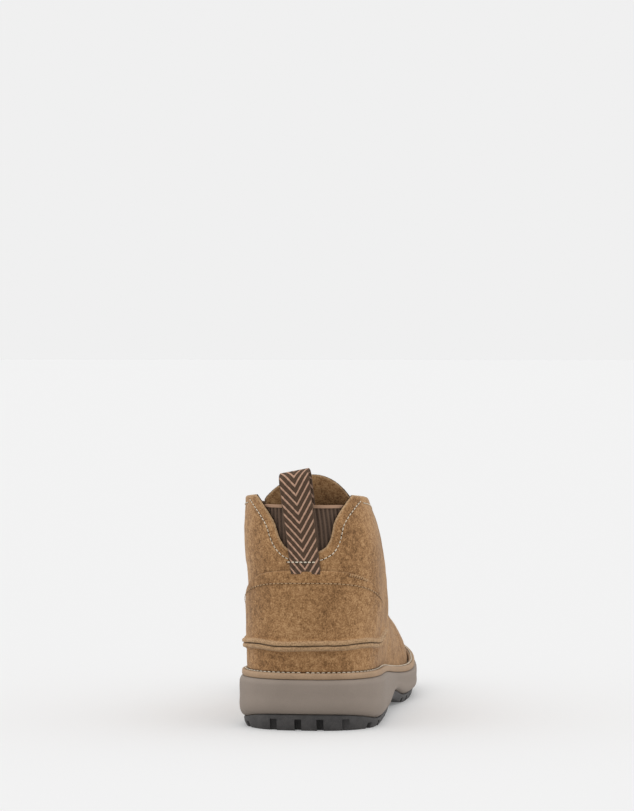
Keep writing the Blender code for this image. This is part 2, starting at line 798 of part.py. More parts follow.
def build_eyelets(side, word, home, cutters, finish, carriers):
    for number, ring in enumerate(EYELET_RINGS, 1):
        point, away = eyelet_spot(ring, side)
        seat = point + away * (CURVED_FIT + OVERLAY_THICKNESS + EYELET_SEAT)
        radius = EYELET_HOLE / 2
        bar = ((0, DRILL_ABOVE), (radius, DRILL_ABOVE), (radius, -DRILL_BELOW), (0, -DRILL_BELOW))
        drill = hide(turned(f"hole_{word}_{number}", bar, None, cutters, DRILL_SIDES))
        place(drill, seat, away)
        for carrier in carriers:
            cut(carrier, drill)
        bore = EYELET_BORE / 2
        barrel = EYELET_BARREL / 2
        flange = EYELET_FLANGE / 2
        tail = -(WALL + OVERLAY_THICKNESS + FIT)
        profile = (
            (bore, EYELET_LIP / 2),
            (barrel + EYELET_LIP / 2, EYELET_LIP),
            (flange, EYELET_LIP / 2),
            (flange, 0),
            (barrel, 0),
            (barrel, tail),
            (bore, tail),
        )
        made = turned(f"eyelet_{word}_{number}", profile, finish, home, EYELET_SIDES, ring=True)
        place(made, seat, away)


def turned(name, profile, finish, home, sides, ring=False):
    """Profile of radius and height turned about Z with a Screw modifier."""
    mesh = bpy.data.meshes.new(name)
    points = [(radius, 0, height) for radius, height in profile]
    edges = [(i, i + 1) for i in range(len(points) - 1)]
    if ring:
        edges.append((len(points) - 1, 0))
    mesh.from_pydata(points, edges, [])
    made = bpy.data.objects.new(name, mesh)
    if finish:
        mesh.materials.append(finish)
    turn = made.modifiers.new("turn", "SCREW")
    turn.axis = "Z"
    turn.steps = sides
    turn.render_steps = sides
    turn.use_merge_vertices = True
    turn.merge_threshold = 1e-6
    turn.use_smooth_shade = True
    home.objects.link(made)
    return made


def build_lace(home, finish):
    """Bar below and crossings above, joined where they meet, over the eyestays."""
    lift = CURVED_FIT + OVERLAY_THICKNESS + EYELET_SEAT + EYELET_LIP + FIT + LACE_DIAMETER / 2
    runs = [(EYELET_RINGS[0], EYELET_RINGS[0])]
    for low, high in zip(EYELET_RINGS, EYELET_RINGS[1:]):
        runs += [(low, high), (high, low)]
    pieces = []
    for number, (left, right) in enumerate(runs):
        path = []
        for share in np.linspace(0, 1, LACE_POINTS):
            ring = mix(left, right, share)
            reach = throat_edge(ring) + EYELET_EDGE
            point, away = surface_spot(ring, mix(-reach, reach, share))
            path.append(point + away * lift)
        pieces.append(tube(f"lace_run_{number}", path, LACE_DIAMETER, home))
    lace = pieces[0]
    lace.name = "lace"
    lace.data.name = "lace"
    lace.data.materials.append(finish)
    for other in pieces[1:]:
        join = lace.modifiers.new("join_" + other.name, "BOOLEAN")
        join.operation = "UNION"
        join.solver = "EXACT"
        join.object = other
    return pieces[1:]


def tube(name, path, diameter, home):
    """Round mesh along a path of points, closed at both ends."""
    path = np.asarray(path)
    ahead = np.gradient(path, axis=0)
    ahead = ahead / np.linalg.norm(ahead, axis=-1, keepdims=True)
    up = np.cross(ahead, np.array([0, 1, 0.3]))
    up = up / np.linalg.norm(up, axis=-1, keepdims=True)
    wide = np.cross(ahead, up)
    turn = np.linspace(0, 2 * np.pi, 6, endpoint=False)
    rings = path[:, None] + diameter / 2 * (
        np.cos(turn)[None, :, None] * up[:, None] + np.sin(turn)[None, :, None] * wide[:, None]
    )
    return loft(name, rings, None, home, shift=0)


def main():
    for old in list(bpy.data.objects):
        bpy.data.objects.remove(old)
    home = collection("chukka_boot")
    cutters = collection("cutters")
    suede = material("suede", SUEDE, 0.95)
    build_outsole(home, cutters, material("outsole_rubber", RUBBER, 0.7))
    build_midsole(home, material("midsole_foam", TAUPE, 0.8))
    build_welt(home, material("welt_leather", TAN, 0.65))
    build_insole(home, material("insole_leather", TAN, 0.8))
    upper = build_upper(home, cutters, suede)
    build_tongue(home, suede)
    build_heel_panel(home, suede)
    build_heel_foxing(home, suede)
    build_rear_gore(home, material("gore_elastic", ELASTIC, 0.9))
    build_pull_loop(home, material("loop_webbing", WEBBING, 0.85))
    bronze = material("eyelet_metal", BRONZE, 0.35, 1.0)
    for side, word in ((1, "lateral"), (-1, "medial")):
        eyestay = build_eyestay(f"eyestay_{word}", side, home, suede)
        build_eyelets(side, word, home, cutters, bronze, (upper, eyestay))
    for run in build_lace(home, material("lace_cord", WEBBING, 0.85)):
        home.objects.unlink(run)
        cutters.objects.link(run)
        hide(run)


main()
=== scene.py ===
import json
import math

import bmesh
import bpy
import numpy as np
from mathutils import Matrix, Vector

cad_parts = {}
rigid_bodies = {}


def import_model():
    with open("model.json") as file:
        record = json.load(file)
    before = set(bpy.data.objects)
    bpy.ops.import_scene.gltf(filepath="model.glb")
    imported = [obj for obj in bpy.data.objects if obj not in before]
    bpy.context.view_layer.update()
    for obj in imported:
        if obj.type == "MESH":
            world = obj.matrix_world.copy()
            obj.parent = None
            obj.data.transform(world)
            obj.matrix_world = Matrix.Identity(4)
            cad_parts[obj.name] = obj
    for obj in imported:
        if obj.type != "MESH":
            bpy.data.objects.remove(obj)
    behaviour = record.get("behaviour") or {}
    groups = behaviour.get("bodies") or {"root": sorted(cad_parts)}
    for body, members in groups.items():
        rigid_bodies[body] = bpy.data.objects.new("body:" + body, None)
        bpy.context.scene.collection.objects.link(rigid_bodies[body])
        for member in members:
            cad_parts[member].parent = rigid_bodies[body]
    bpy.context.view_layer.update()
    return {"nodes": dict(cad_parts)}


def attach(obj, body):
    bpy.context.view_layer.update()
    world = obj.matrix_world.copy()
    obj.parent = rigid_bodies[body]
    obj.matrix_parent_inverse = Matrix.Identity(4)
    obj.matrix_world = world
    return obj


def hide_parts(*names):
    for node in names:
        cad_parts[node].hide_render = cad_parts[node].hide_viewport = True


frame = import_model()
print("frame loaded with", len(frame["nodes"]), "nodes")

# Sizes of the sole in metres
sole = {
    "length": 0.302,
    "heelWidth": 0.085,
    "waistWidth": 0.076,
    "ballWidth": 0.104,
    "toeWidth": 0.086,
    "toeSwing": 0.012,
    "heelRound": 0.046,
    "toeRound": 0.072,
    "heelStack": 0.033,
    "forefootStack": 0.022,
    "toeSpring": 0.013,
    "springStart": 0.66,
    "archRise": 0.006,
    "archStart": 0.27,
    "archSpan": 0.29,
    "wedgeStart": 0.12,
    "wedgeSpan": 0.5,
    "outsoleThickness": 0.005,
    "outsoleHeelHeight": 0.0093,
    "kickLength": 0.034,
    "outsoleTuck": 0.0025,
    "weltThickness": 0.0034,
    "weltTuck": 0.0014,
    "weltGap": 0.0009,
    "heelPower": 2.6,
    "toePower": 2.3,
}
# Sizes of the upper in metres
last = {
    "inset": 0.006,
    "wall": 0.0022,
    "instepRise": 0.064,
    "collarRise": 0.0375,
    "collarHeight": 0.136,
    "collarWidth": 0.072,
    "collarLean": 0.003,
    "instepLean": 0.0095,
    "collarFront": 0.345,
    "shaftFront": 0.33,
    "shaftFade": 0.25,
    "heelCurve": 0.0024,
    "ankleBlend": 0.045,
    "shaftHeelPower": 2.1,
    "vampPower": 1.8,
    "shaftPower": 3.2,
}
fit = 0.0003
curvedFit = 0.0005
borderStep = 0.0003
laidOn = 0.0001

# Share of length, width, swing of the centre line towards the toe
solePlan = (
    (0.00, sole["heelWidth"], 0.00),
    (0.14, sole["heelWidth"], 0.00),
    (0.40, sole["waistWidth"], -0.28),
    (0.66, sole["ballWidth"], 0.50),
    (1.00, sole["toeWidth"], 1.00),
)
# Ring number, share of length, share of instep rise, share of collar rise
ridgeRows = (
    (0.00, 0.9801, 0.000, 0.00),
    (0.04, 0.9750, 0.160, 0.00),
    (0.09, 0.9580, 0.310, 0.00),
    (0.14, 0.9300, 0.430, 0.00),
    (0.20, 0.8800, 0.550, 0.00),
    (0.30, 0.8000, 0.655, 0.00),
    (0.41, 0.7200, 0.745, 0.00),
    (0.52, 0.6400, 0.840, 0.00),
    (0.61, 0.5800, 0.920, 0.00),
    (0.70, 0.5200, 1.000, 0.00),
    (0.79, 0.4600, 1.000, 0.22),
    (0.87, 0.4100, 1.000, 0.45),
    (0.94, 0.3700, 1.000, 0.73),
    (1.00, last["collarFront"], 1.000, 1.00),
    (1.08, 0.3280, 1.000, 1.34),
    (1.20, 0.3080, 1.000, 1.92),
    (1.50, 0.2500, 1.000, 3.50),
    (2.00, 0.1500, 1.000, 6.30),
    (3.00, 0.0000, 1.000, 10.6),
)
# Height share, set-back share of the heel's curve
heelCurveRows = ((0.00, 0.00), (0.28, -1.00), (0.62, -0.25), (0.85, 0.50), (1.00, 0.90), (1.30, 1.30))
# Height share of the shaft, share of heel width, share of collar width, lean share
shaftRows = (
    (0.00, 1.00, 0.00, 0.00),
    (0.20, 1.03, 0.00, 0.00),
    (0.50, 0.59, 0.48, -0.25),
    (0.75, 0.30, 0.79, 0.25),
    (1.00, 0.00, 1.00, 1.00),
    (1.30, 0.00, 1.02, 1.30),
)


def smooth(rows, column, at):
    # Hermite curve through one column of a table, its slopes from the neighbouring rows
    x = np.array([row[0] for row in rows], float)
    y = np.array([row[column] for row in rows], float)
    slope = np.gradient(y, x)
    at = np.clip(at, x[0], x[-1])
    i = np.clip(np.searchsorted(x, at, side="right") - 1, 0, len(x) - 2)
    span = x[i + 1] - x[i]
    s = (at - x[i]) / span
    near = (1 + 2 * s) * (1 - s) ** 2 * y[i] + s * (1 - s) ** 2 * span * slope[i]
    far = s * s * (3 - 2 * s) * y[i + 1] + s * s * (s - 1) * span * slope[i + 1]
    return near + far


def ease(share):
    # three times the square less twice the cube, level at both ends
    s = np.clip(share, 0, 1)
    return s * s * (3 - 2 * s)


def mix(a, b, share):
    return a + (b - a) * share


def unit(vectors):
    # vectors scaled to length one along the last axis
    return vectors / np.linalg.norm(vectors, axis=-1, keepdims=True)


def runLength(line):
    # length run from the first point of a line to each of its points
    return np.concatenate([[0], np.cumsum(np.linalg.norm(np.diff(line, axis=0), axis=1))])


def readAlong(values, length, at):
    # points or directions of a line, read at lengths run
    return np.stack([np.interp(at, length, values[:, axis]) for axis in range(3)], axis=-1)


def turnShare(turn):
    # share of the reach at a turn from the heel's middle: one less the cosine of as much of a quarter circle
    return 1 - np.cos(np.abs(turn) * np.pi / 2)


def roundEnd(share, power):
    # superellipse quarter, 0 at a rounded end and 1 from its full width on
    s = np.clip(share, 0, 1)
    return (1 - (1 - s) ** power) ** (1 / power)


def groundLine(y):
    # toe spring: its height times the 1.8th power of the share run past its start
    share = (y / sole["length"] - sole["springStart"]) / (1 - sole["springStart"])
    return sole["toeSpring"] * np.clip(share, 0, 1) ** 1.8


def soleBottom(y):
    # ground line with the arch added, a squared sine over its span
    arch = np.clip((y / sole["length"] - sole["archStart"]) / sole["archSpan"], 0, 1)
    return groundLine(y) + sole["archRise"] * np.sin(np.pi * arch) ** 2


def weltTop(y):
    # ground line plus a stack that eases from heel to forefoot
    share = (y / sole["length"] - sole["wedgeStart"]) / sole["wedgeSpan"]
    return groundLine(y) + mix(sole["heelStack"], sole["forefootStack"], ease(share))


def midsoleTop(y):
    return weltTop(y) - sole["weltThickness"] - fit


def outsoleTop(y):
    # sole's bottom plus the outsole, which eases up to its full height behind
    kick = (sole["outsoleHeelHeight"] - sole["outsoleThickness"]) * (1 - ease(y / sole["kickLength"]))
    return soleBottom(y) + sole["outsoleThickness"] + kick


def midsoleBottom(y):
    return outsoleTop(y) + fit


def featherLine(y):
    return midsoleTop(y) + fit


def stations(count):
    # shares of length, closest together at both ends
    return (1 - np.cos(np.linspace(0, np.pi, count + 1))) / 2


def soleCentre(y):
    # centre line, swung to the medial side towards the toe
    return -sole["toeSwing"] * smooth(solePlan, 2, y / sole["length"])


def soleRing(inset, height, count=110):
    # outline of the sole drawn in by an inset, up the lateral side and back down the medial one
    y = inset + (sole["length"] - 2 * inset) * stations(count)
    half = smooth(solePlan, 1, y / sole["length"]) / 2 - inset
    half = half * roundEnd((y - inset) / (sole["heelRound"] - inset), sole["heelPower"])
    half = half * roundEnd((sole["length"] - inset - y) / (sole["toeRound"] - inset), sole["toePower"])
    centre = soleCentre(y)
    z = height(y)
    lateral = np.stack([centre + half, y, z], axis=-1)
    medial = np.stack([centre - half, y, z], axis=-1)
    return np.concatenate([lateral, medial[-2:0:-1]])


soleMiddle = soleRing(0, soleBottom, 28)[:, 0]
soleMiddle = (soleMiddle.max() + soleMiddle.min()) / 2
partOrigin = np.array([-soleMiddle, -sole["length"] / 2, 0])


def heelBack(z):
    # setback of the heel at a height: the inset and the heel curve at that share of the shaft
    low = featherLine(0)
    share = (z - low) / (last["collarHeight"] - low)
    return last["inset"] + last["heelCurve"] * smooth(heelCurveRows, 1, share)


def ridge(ring):
    # side view line over the toe and instep to the front of the collar
    y = sole["length"] * smooth(ridgeRows, 1, ring)
    rise = last["instepRise"] * smooth(ridgeRows, 2, ring) + last["collarRise"] * smooth(ridgeRows, 3, ring)
    return y, featherLine(y) + rise


ridgeLine = ridge(np.linspace(ridgeRows[-1][0], 0, 400))


def ridgeHeight(y):
    return np.interp(y, *ridgeLine)


def shaftShare(y):
    # 1 at the shaft, easing to 0 over the instep
    return 1 - ease((y / sole["length"] - last["shaftFront"]) / last["shaftFade"])


def upperShape(y, z):
    # centre and half width at side view points: foot and shaft widths mixed, closed towards the ridge
    base = featherLine(y)
    foot = smooth(solePlan, 1, y / sole["length"]) / 2 - last["inset"]
    rise = np.clip((z - base) / (last["collarHeight"] - base), 0, 1.3)
    heelHalf = sole["heelWidth"] / 2 - last["inset"]
    shaft = heelHalf * smooth(shaftRows, 1, rise) + last["collarWidth"] / 2 * smooth(shaftRows, 2, rise)
    forward = y / (last["collarFront"] * sole["length"])
    lean = -last["collarLean"] * smooth(shaftRows, 3, rise) - last["instepLean"] * rise**3 * forward**2
    blend = shaftShare(y) * ease((z - base) / last["ankleBlend"])
    centre = mix(soleCentre(y), lean, blend)
    half = mix(foot, shaft, blend)
    top = np.maximum(ridgeHeight(y) - base, 1e-6)
    power = mix(last["vampPower"], last["shaftPower"], shaftShare(y))
    closing = (1 - np.clip((z - base) / top, 0, 1) ** power) ** (1 / power)
    heelPower = mix(sole["heelPower"], last["shaftHeelPower"], ease(rise / 0.35))
    back = roundEnd((y - heelBack(z)) / (sole["heelRound"] - last["inset"]), heelPower)
    toe = roundEnd((sole["length"] - last["inset"] - y) / (sole["toeRound"] - last["inset"]),
                   sole["toePower"])
    return centre, half * closing * back * toe


def sideView(along, ring):
    # bilinearly blended patch between heel, ridge, feather line and collar
    startY = heelBack(featherLine(0))
    endY = sole["length"] - last["inset"]
    lowY = mix(startY, endY, along)
    lowZ = featherLine(lowY)
    highY, highZ = ridge(1.0)
    rearY = heelBack(last["collarHeight"])
    backZ = mix(featherLine(0), last["collarHeight"], ring)
    frontY, frontZ = ridge(ring)
    cornerY = mix(mix(startY, endY, along), mix(rearY, highY, along), ring)
    cornerZ = mix(mix(featherLine(startY), featherLine(endY), along),
                  mix(last["collarHeight"], highZ, along), ring)
    y = mix(lowY, mix(rearY, highY, along), ring) + mix(heelBack(backZ), frontY, along) - cornerY
    z = mix(lowZ, mix(last["collarHeight"], highZ, along), ring) + mix(backZ, frontZ, along) - cornerZ
    return y, z


def surfacePoint(along, ring, side):
    # point of the upper's skin: side view, then half a width to its side
    y, z = sideView(along, ring)
    centre, half = upperShape(y, z)
    return np.stack([centre + side * half, y, z], axis=-1)


def firstCrossing(values):
    # place along each row, as a fractional column, where the values first reach zero
    rows = np.arange(len(values))
    after = np.argmax(values >= 0, axis=1)
    before = np.maximum(after - 1, 0)
    low = values[rows, before]
    high = values[rows, after]
    share = np.where(after > 0, -low / np.where(high - low == 0, 1, high - low), 0)
    return before + np.where(after > 0, share, 0)


def takeAt(table, place):
    # linear reading of each row of a table at a fractional column
    rows = np.arange(len(table))
    low = np.clip(place.astype(int), 0, table.shape[1] - 2)
    share = (place - low).reshape((-1,) + (1,) * (table.ndim - 2))
    return mix(table[rows, low], table[rows, low + 1], share)


def instepPoint(ring, across):
    # points of the upper at ring numbers and distances across from the ridge, lateral ones positive
    ring, across = np.broadcast_arrays(np.asarray(ring, float), np.asarray(across, float))
    shape = ring.shape
    flat = across.ravel()[:, None]
    along = 1 - stations(300)[None, :]
    y, z = sideView(along, ring.ravel()[:, None])
    centre, half = upperShape(y, z)
    half[:, 0] = 0
    place = firstCrossing(half - np.abs(flat))
    line = takeAt(np.stack([centre, y, z], axis=-1), place)
    line[:, 0] += flat[:, 0]
    return line.reshape(shape + (3,))


def heelPoint(x, z):
    # points of the upper's back at distances across and heights
    x, z = np.broadcast_arrays(np.asarray(x, float), np.asarray(z, float))
    shape = x.shape
    flatX = x.ravel()[:, None]
    flatZ = z.ravel()[:, None]
    depth = 0.09 * np.linspace(0, 1, 500)[None, :] ** 2
    y = heelBack(flatZ) + depth
    centre, half = upperShape(y, flatZ + 0 * y)
    half[:, 0] = 0
    place = firstCrossing(half - np.abs(flatX - centre))
    found = takeAt(y, place)
    return np.stack([flatX[:, 0], found, flatZ[:, 0]], axis=-1).reshape(shape + (3,))


def softNoise(points, size, seed, count=9):
    # sum of sine waves in seeded directions, all about one wavelength long, within -1 and 1
    seeded = np.random.default_rng(seed)
    way = seeded.normal(size=(count, 3))
    way = unit(way)
    pitch = size * seeded.uniform(0.7, 1.5, count)
    start = seeded.uniform(0, 2 * np.pi, count)
    waves = np.sin(points @ way.T * (2 * np.pi / pitch) + start)
    return np.clip(waves.sum(axis=-1) / count**0.5 / 1.6, -1, 1)


def gridFaces(rows, columns, first=0, closed=False, flip=False):
    # corner numbers of the quads between neighbouring rows and columns
    low = np.arange(rows - 1)[:, None] * columns
    near = np.arange(columns if closed else columns - 1)[None, :]
    far = (near + 1) % columns
    quads = np.stack([low + near, low + far, low + columns + far, low + columns + near], axis=-1)
    quads = first + quads.reshape(-1, 4)
    return (quads[:, ::-1] if flip else quads).tolist()


def weld(points, faces, distance=2e-5):
    # merges neighbouring points, and gives the points, their normals and the faces left
    mesh = bpy.data.meshes.new("weld")
    mesh.from_pydata(points.reshape(-1, 3).tolist(), [], faces)
    shaped = bmesh.new()
    shaped.from_mesh(mesh)
    bmesh.ops.remove_doubles(shaped, verts=shaped.verts, dist=distance)
    shaped.to_mesh(mesh)
    shaped.free()
    place = np.empty(len(mesh.vertices) * 3)
    away = np.empty(len(mesh.vertices) * 3)
    mesh.vertices.foreach_get("co", place)
    mesh.vertices.foreach_get("normal", away)
    corners = [tuple(face.vertices) for face in mesh.polygons]
    bpy.data.meshes.remove(mesh)
    return place.reshape(-1, 3), away.reshape(-1, 3), corners


def makePiece(name, points, faces, finishes, slot, replaced=(), marks=None, finishOf=None, merge=1e-6):
    # mesh object in the part's own frame, welded, smooth and riding on the shoe
    mesh = bpy.data.meshes.new(name)
    mesh.from_pydata((points.reshape(-1, 3) + partOrigin).tolist(), [], faces)
    for finish in finishes:
        mesh.materials.append(finish)
    if finishOf is not None:
        mesh.polygons.foreach_set("material_index", np.asarray(finishOf, np.int32))
    for mark, values in (marks or {}).items():
        layer = mesh.attributes.new(mark, "FLOAT", "POINT")
        layer.data.foreach_set("value", np.asarray(values, np.float32).ravel())
    shaped = bmesh.new()
    shaped.from_mesh(mesh)
    bmesh.ops.remove_doubles(shaped, verts=shaped.verts, dist=merge)
    shaped.to_mesh(mesh)
    shaped.free()
    mesh.shade_smooth()
    piece = bpy.data.objects.new(name, mesh)
    bpy.context.scene.collection.objects.link(piece)
    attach(piece, "root")
    if replaced:
        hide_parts(*replaced)
    print(name, "made with", len(mesh.polygons), "faces")
    return piece


def edgeDistance(points, edge):
    # distance of each point from the nearest of the edge's own points
    found = np.empty(len(points))
    for start in range(0, len(points), 2000):
        block = points[start:start + 2000]
        gap = (block**2).sum(1)[:, None] + (edge**2).sum(1)[None, :] - 2 * block @ edge.T
        found[start:start + 2000] = np.sqrt(np.maximum(gap.min(axis=1), 0))
    return found


def refine(line, step):
    # the same line with points no further apart than a step
    length = runLength(line)
    at = np.linspace(0, length[-1], int(length[-1] / step) + 2)
    return readAlong(line, length, at)


def borderOf(grid, step, firstRow=True):
    # points along the sides and the rows at the ends of a grid
    lines = [grid[-1], grid[:, 0], grid[:, -1]] + ([grid[0]] if firstRow else [])
    return np.concatenate([refine(line, step) for line in lines])


def turnedOver(away, faces, wrong):
    # normals and faces, turned over where they point the wrong way
    if wrong:
        return -away, [face[::-1] for face in faces]
    return away, faces


def rawMark(gap, start, fade):
    # 1 on a cut edge of both sheets, falling to 0 past a distance from it
    return np.tile(1 - ease((gap - start) / fade), 2)


def doubleSheet(points, away, faces, outer, inner):
    # two offsets of one sheet, the inner one turned over, that meet where the offsets are equal
    outer = np.broadcast_to(outer, len(points))[:, None]
    inner = np.broadcast_to(inner, len(points))[:, None]
    count = len(points)
    joined = np.concatenate([points + away * outer, points + away * inner])
    turned = [tuple(corner + count for corner in face[::-1]) for face in faces]
    return joined, list(faces) + turned


# Materials
def finish(name, roughness, specular=0.3):
    # new material with its roughness and specular level set
    made = bpy.data.materials.new(name)
    made.use_nodes = True
    shader = made.node_tree.nodes["Principled BSDF"]
    shader.inputs["Roughness"].default_value = roughness
    shader.inputs["Specular IOR Level"].default_value = specular
    return made, made.node_tree, shader


def addNode(tree, kind, settings=None, **inputs):
    # new node with its settings, and numbers or other nodes' outputs on its inputs
    node = tree.nodes.new(kind)
    for key, value in (settings or {}).items():
        setattr(node, key, value)
    for key, value in inputs.items():
        socket = node.inputs[int(key[2:])] if key.startswith("in") and key[2:].isdigit() else node.inputs[key]
        if isinstance(value, bpy.types.NodeSocket):
            tree.links.new(value, socket)
        else:
            socket.default_value = value
    return node


def objectNoise(tree, scale, detail=3.0, rough=0.6, stretch=None):
    # noise on the object's own coordinates, its scale in waves a metre
    spot = addNode(tree, "ShaderNodeTexCoord").outputs["Object"]
    if stretch:
        spot = addNode(tree, "ShaderNodeMapping", Vector=spot, Scale=stretch).outputs[0]
    return addNode(tree, "ShaderNodeTexNoise", Vector=spot, Scale=scale, Detail=detail,
                   Roughness=rough).outputs[0]


def reckon(tree, operation, a, b=0.0):
    return addNode(tree, "ShaderNodeMath", {"operation": operation}, in0=a, in1=b).outputs[0]


def remap(tree, value, low, high, outLow=0.0, outHigh=1.0):
    # straight line from one range to another, held at both ends
    node = addNode(tree, "ShaderNodeMapRange", {"clamp": True}, Value=value)
    node.inputs["From Min"].default_value = low
    node.inputs["From Max"].default_value = high
    node.inputs["To Min"].default_value = outLow
    node.inputs["To Max"].default_value = outHigh
    return node.outputs[0]


def blendColour(tree, share, low, high):
    # mix of two colours by a share
    node = addNode(tree, "ShaderNodeMix", {"data_type": "RGBA"})
    for socket, value in ((node.inputs[0], share), (node.inputs[6], low), (node.inputs[7], high)):
        if isinstance(value, bpy.types.NodeSocket):
            tree.links.new(value, socket)
        elif isinstance(value, tuple):
            socket.default_value = (*value, 1)
        else:
            socket.default_value = value
    return node.outputs[2]


def markOf(tree, name):
    return addNode(tree, "ShaderNodeAttribute", {"attribute_name": name}).outputs["Fac"]


def bump(tree, shader, height, distance, strength=1.0, under=None):
    # raised relief from a height, laid over another relief where given
    node = addNode(tree, "ShaderNodeBump", Height=height, Distance=distance, Strength=strength)
    if under:
        tree.links.new(under, node.inputs["Normal"])
    tree.links.new(node.outputs[0], shader.inputs["Normal"])
    return node.outputs[0]


suedeLook = {
    "dark": (0.125, 0.062, 0.025),
    "middle": (0.275, 0.146, 0.062),
    "light": (0.430, 0.255, 0.122),
    "raw": (0.440, 0.285, 0.158),
    "rawShade": (0.230, 0.138, 0.070),
    "napScale": 1150.0,
    "grainScale": 330.0,
    "patchScale": 42.0,
    "napDepth": 0.00022,
    "grainDepth": 0.0004,
    "sheen": 0.22,
}


def suedeFinish(name):
    # brushed hide: a fine nap, a grain of some millimetres and broad strokes, paler and rougher where cut
    made, tree, shader = finish(name, 0.95, 0.12)
    nap = objectNoise(tree, suedeLook["napScale"], 2.0, 0.7)
    grain = objectNoise(tree, suedeLook["grainScale"], 4.0, 0.65)
    patch = objectNoise(tree, suedeLook["patchScale"], 3.0, 0.55, (1.0, 1.0, 0.7))
    tone = reckon(tree, "ADD", remap(tree, nap, 0.3, 0.7, 0.0, 0.60), remap(tree, grain, 0.3, 0.7, 0.0, 0.46))
    tone = reckon(tree, "ADD", tone, remap(tree, patch, 0.32, 0.68, -0.04, 0.24))
    colour = blendColour(tree, remap(tree, tone, 0.26, 0.62), suedeLook["dark"], suedeLook["middle"])
    colour = blendColour(tree, remap(tree, tone, 0.62, 1.0), colour, suedeLook["light"])
    cut = blendColour(tree, remap(tree, nap, 0.35, 0.6), suedeLook["rawShade"], suedeLook["raw"])
    colour = blendColour(tree, markOf(tree, "raw"), colour, cut)
    tree.links.new(colour, shader.inputs["Base Color"])
    coarse = bump(tree, shader, grain, suedeLook["grainDepth"], 0.7)
    bump(tree, shader, nap, suedeLook["napDepth"], 1.0, coarse)
    shader.inputs["Sheen Weight"].default_value = suedeLook["sheen"]
    shader.inputs["Sheen Roughness"].default_value = 0.45
    shader.inputs["Sheen Tint"].default_value = (1.0, 0.86, 0.70, 1)
    return made


def plainFinish(name, low, high, roughness, scale, depth, specular=0.3, metallic=0.0, patchScale=60.0):
    # two close tones with a fine grain and faint broad clouds
    made, tree, shader = finish(name, roughness, specular)
    grain = objectNoise(tree, scale, 3.0)
    cloud = objectNoise(tree, patchScale, 3.0)
    tone = reckon(tree, "ADD", remap(tree, grain, 0.3, 0.7, 0.0, 0.5), remap(tree, cloud, 0.3, 0.7, 0.0, 0.5))
    tree.links.new(blendColour(tree, tone, low, high), shader.inputs["Base Color"])
    tree.links.new(remap(tree, cloud, 0.3, 0.7, roughness - 0.06, roughness + 0.06),
                   shader.inputs["Roughness"])
    bump(tree, shader, grain, depth)
    shader.inputs["Metallic"].default_value = metallic
    return made


suede = suedeFinish("suede")
liningLeather = plainFinish("liningLeather", (0.055, 0.034, 0.022), (0.105, 0.066, 0.042), 0.75, 900.0,
                            0.0001)
foam = plainFinish("midsoleFoam", (0.215, 0.176, 0.145), (0.258, 0.213, 0.178), 0.72, 2100.0, 0.00006, 0.25)
weltLeather = plainFinish("weltLeather", (0.270, 0.178, 0.108), (0.400, 0.272, 0.172), 0.7, 1300.0, 0.00012,
                          0.25)
insoleLeather = plainFinish("insoleLeather", (0.19, 0.115, 0.062), (0.26, 0.165, 0.095), 0.7, 800.0, 0.0001)
bronze = plainFinish("eyeletMetal", (0.115, 0.088, 0.06), (0.2, 0.155, 0.105), 0.36, 1500.0, 0.00002, 0.5,
                     1.0)
thread = plainFinish("thread", (0.42, 0.35, 0.26), (0.74, 0.67, 0.55), 0.8, 3200.0, 0.0001, 0.2)
tanThread = plainFinish("tanThread", (0.30, 0.19, 0.10), (0.46, 0.31, 0.18), 0.8, 2400.0, 0.00006)
# near-black finish of the discs at the stitch holes: painted shade of the holes
paintedHoleShade = plainFinish("paintedHoleShade", (0.016, 0.010, 0.007), (0.035, 0.022, 0.015), 0.95, 900.0, 0.00005, 0.1)


def rubberFinish(name):
    # dark rubber, greyed with dust on the lug faces
    made, tree, shader = finish(name, 0.62, 0.35)
    grain = objectNoise(tree, 1500.0, 3.0)
    cloud = objectNoise(tree, 120.0, 4.0)
    colour = blendColour(tree, remap(tree, grain, 0.3, 0.7), (0.030, 0.028, 0.028), (0.058, 0.054, 0.053))
    colour = blendColour(tree, remap(tree, cloud, 0.42, 0.75, 0.0, 0.35), colour, (0.105, 0.098, 0.094))
    tree.links.new(colour, shader.inputs["Base Color"])
    bump(tree, shader, grain, 0.00008)
    return made


rubber = rubberFinish("outsoleRubber")

webbingLook = {
    "chevronPitch": 0.00535,
    "armSlope": 1.40,
    "lineWidth": 0.00082,
    "brown": (0.052, 0.030, 0.018),
    "brownLight": (0.125, 0.078, 0.050),
    "line": (0.60, 0.375, 0.265),
}


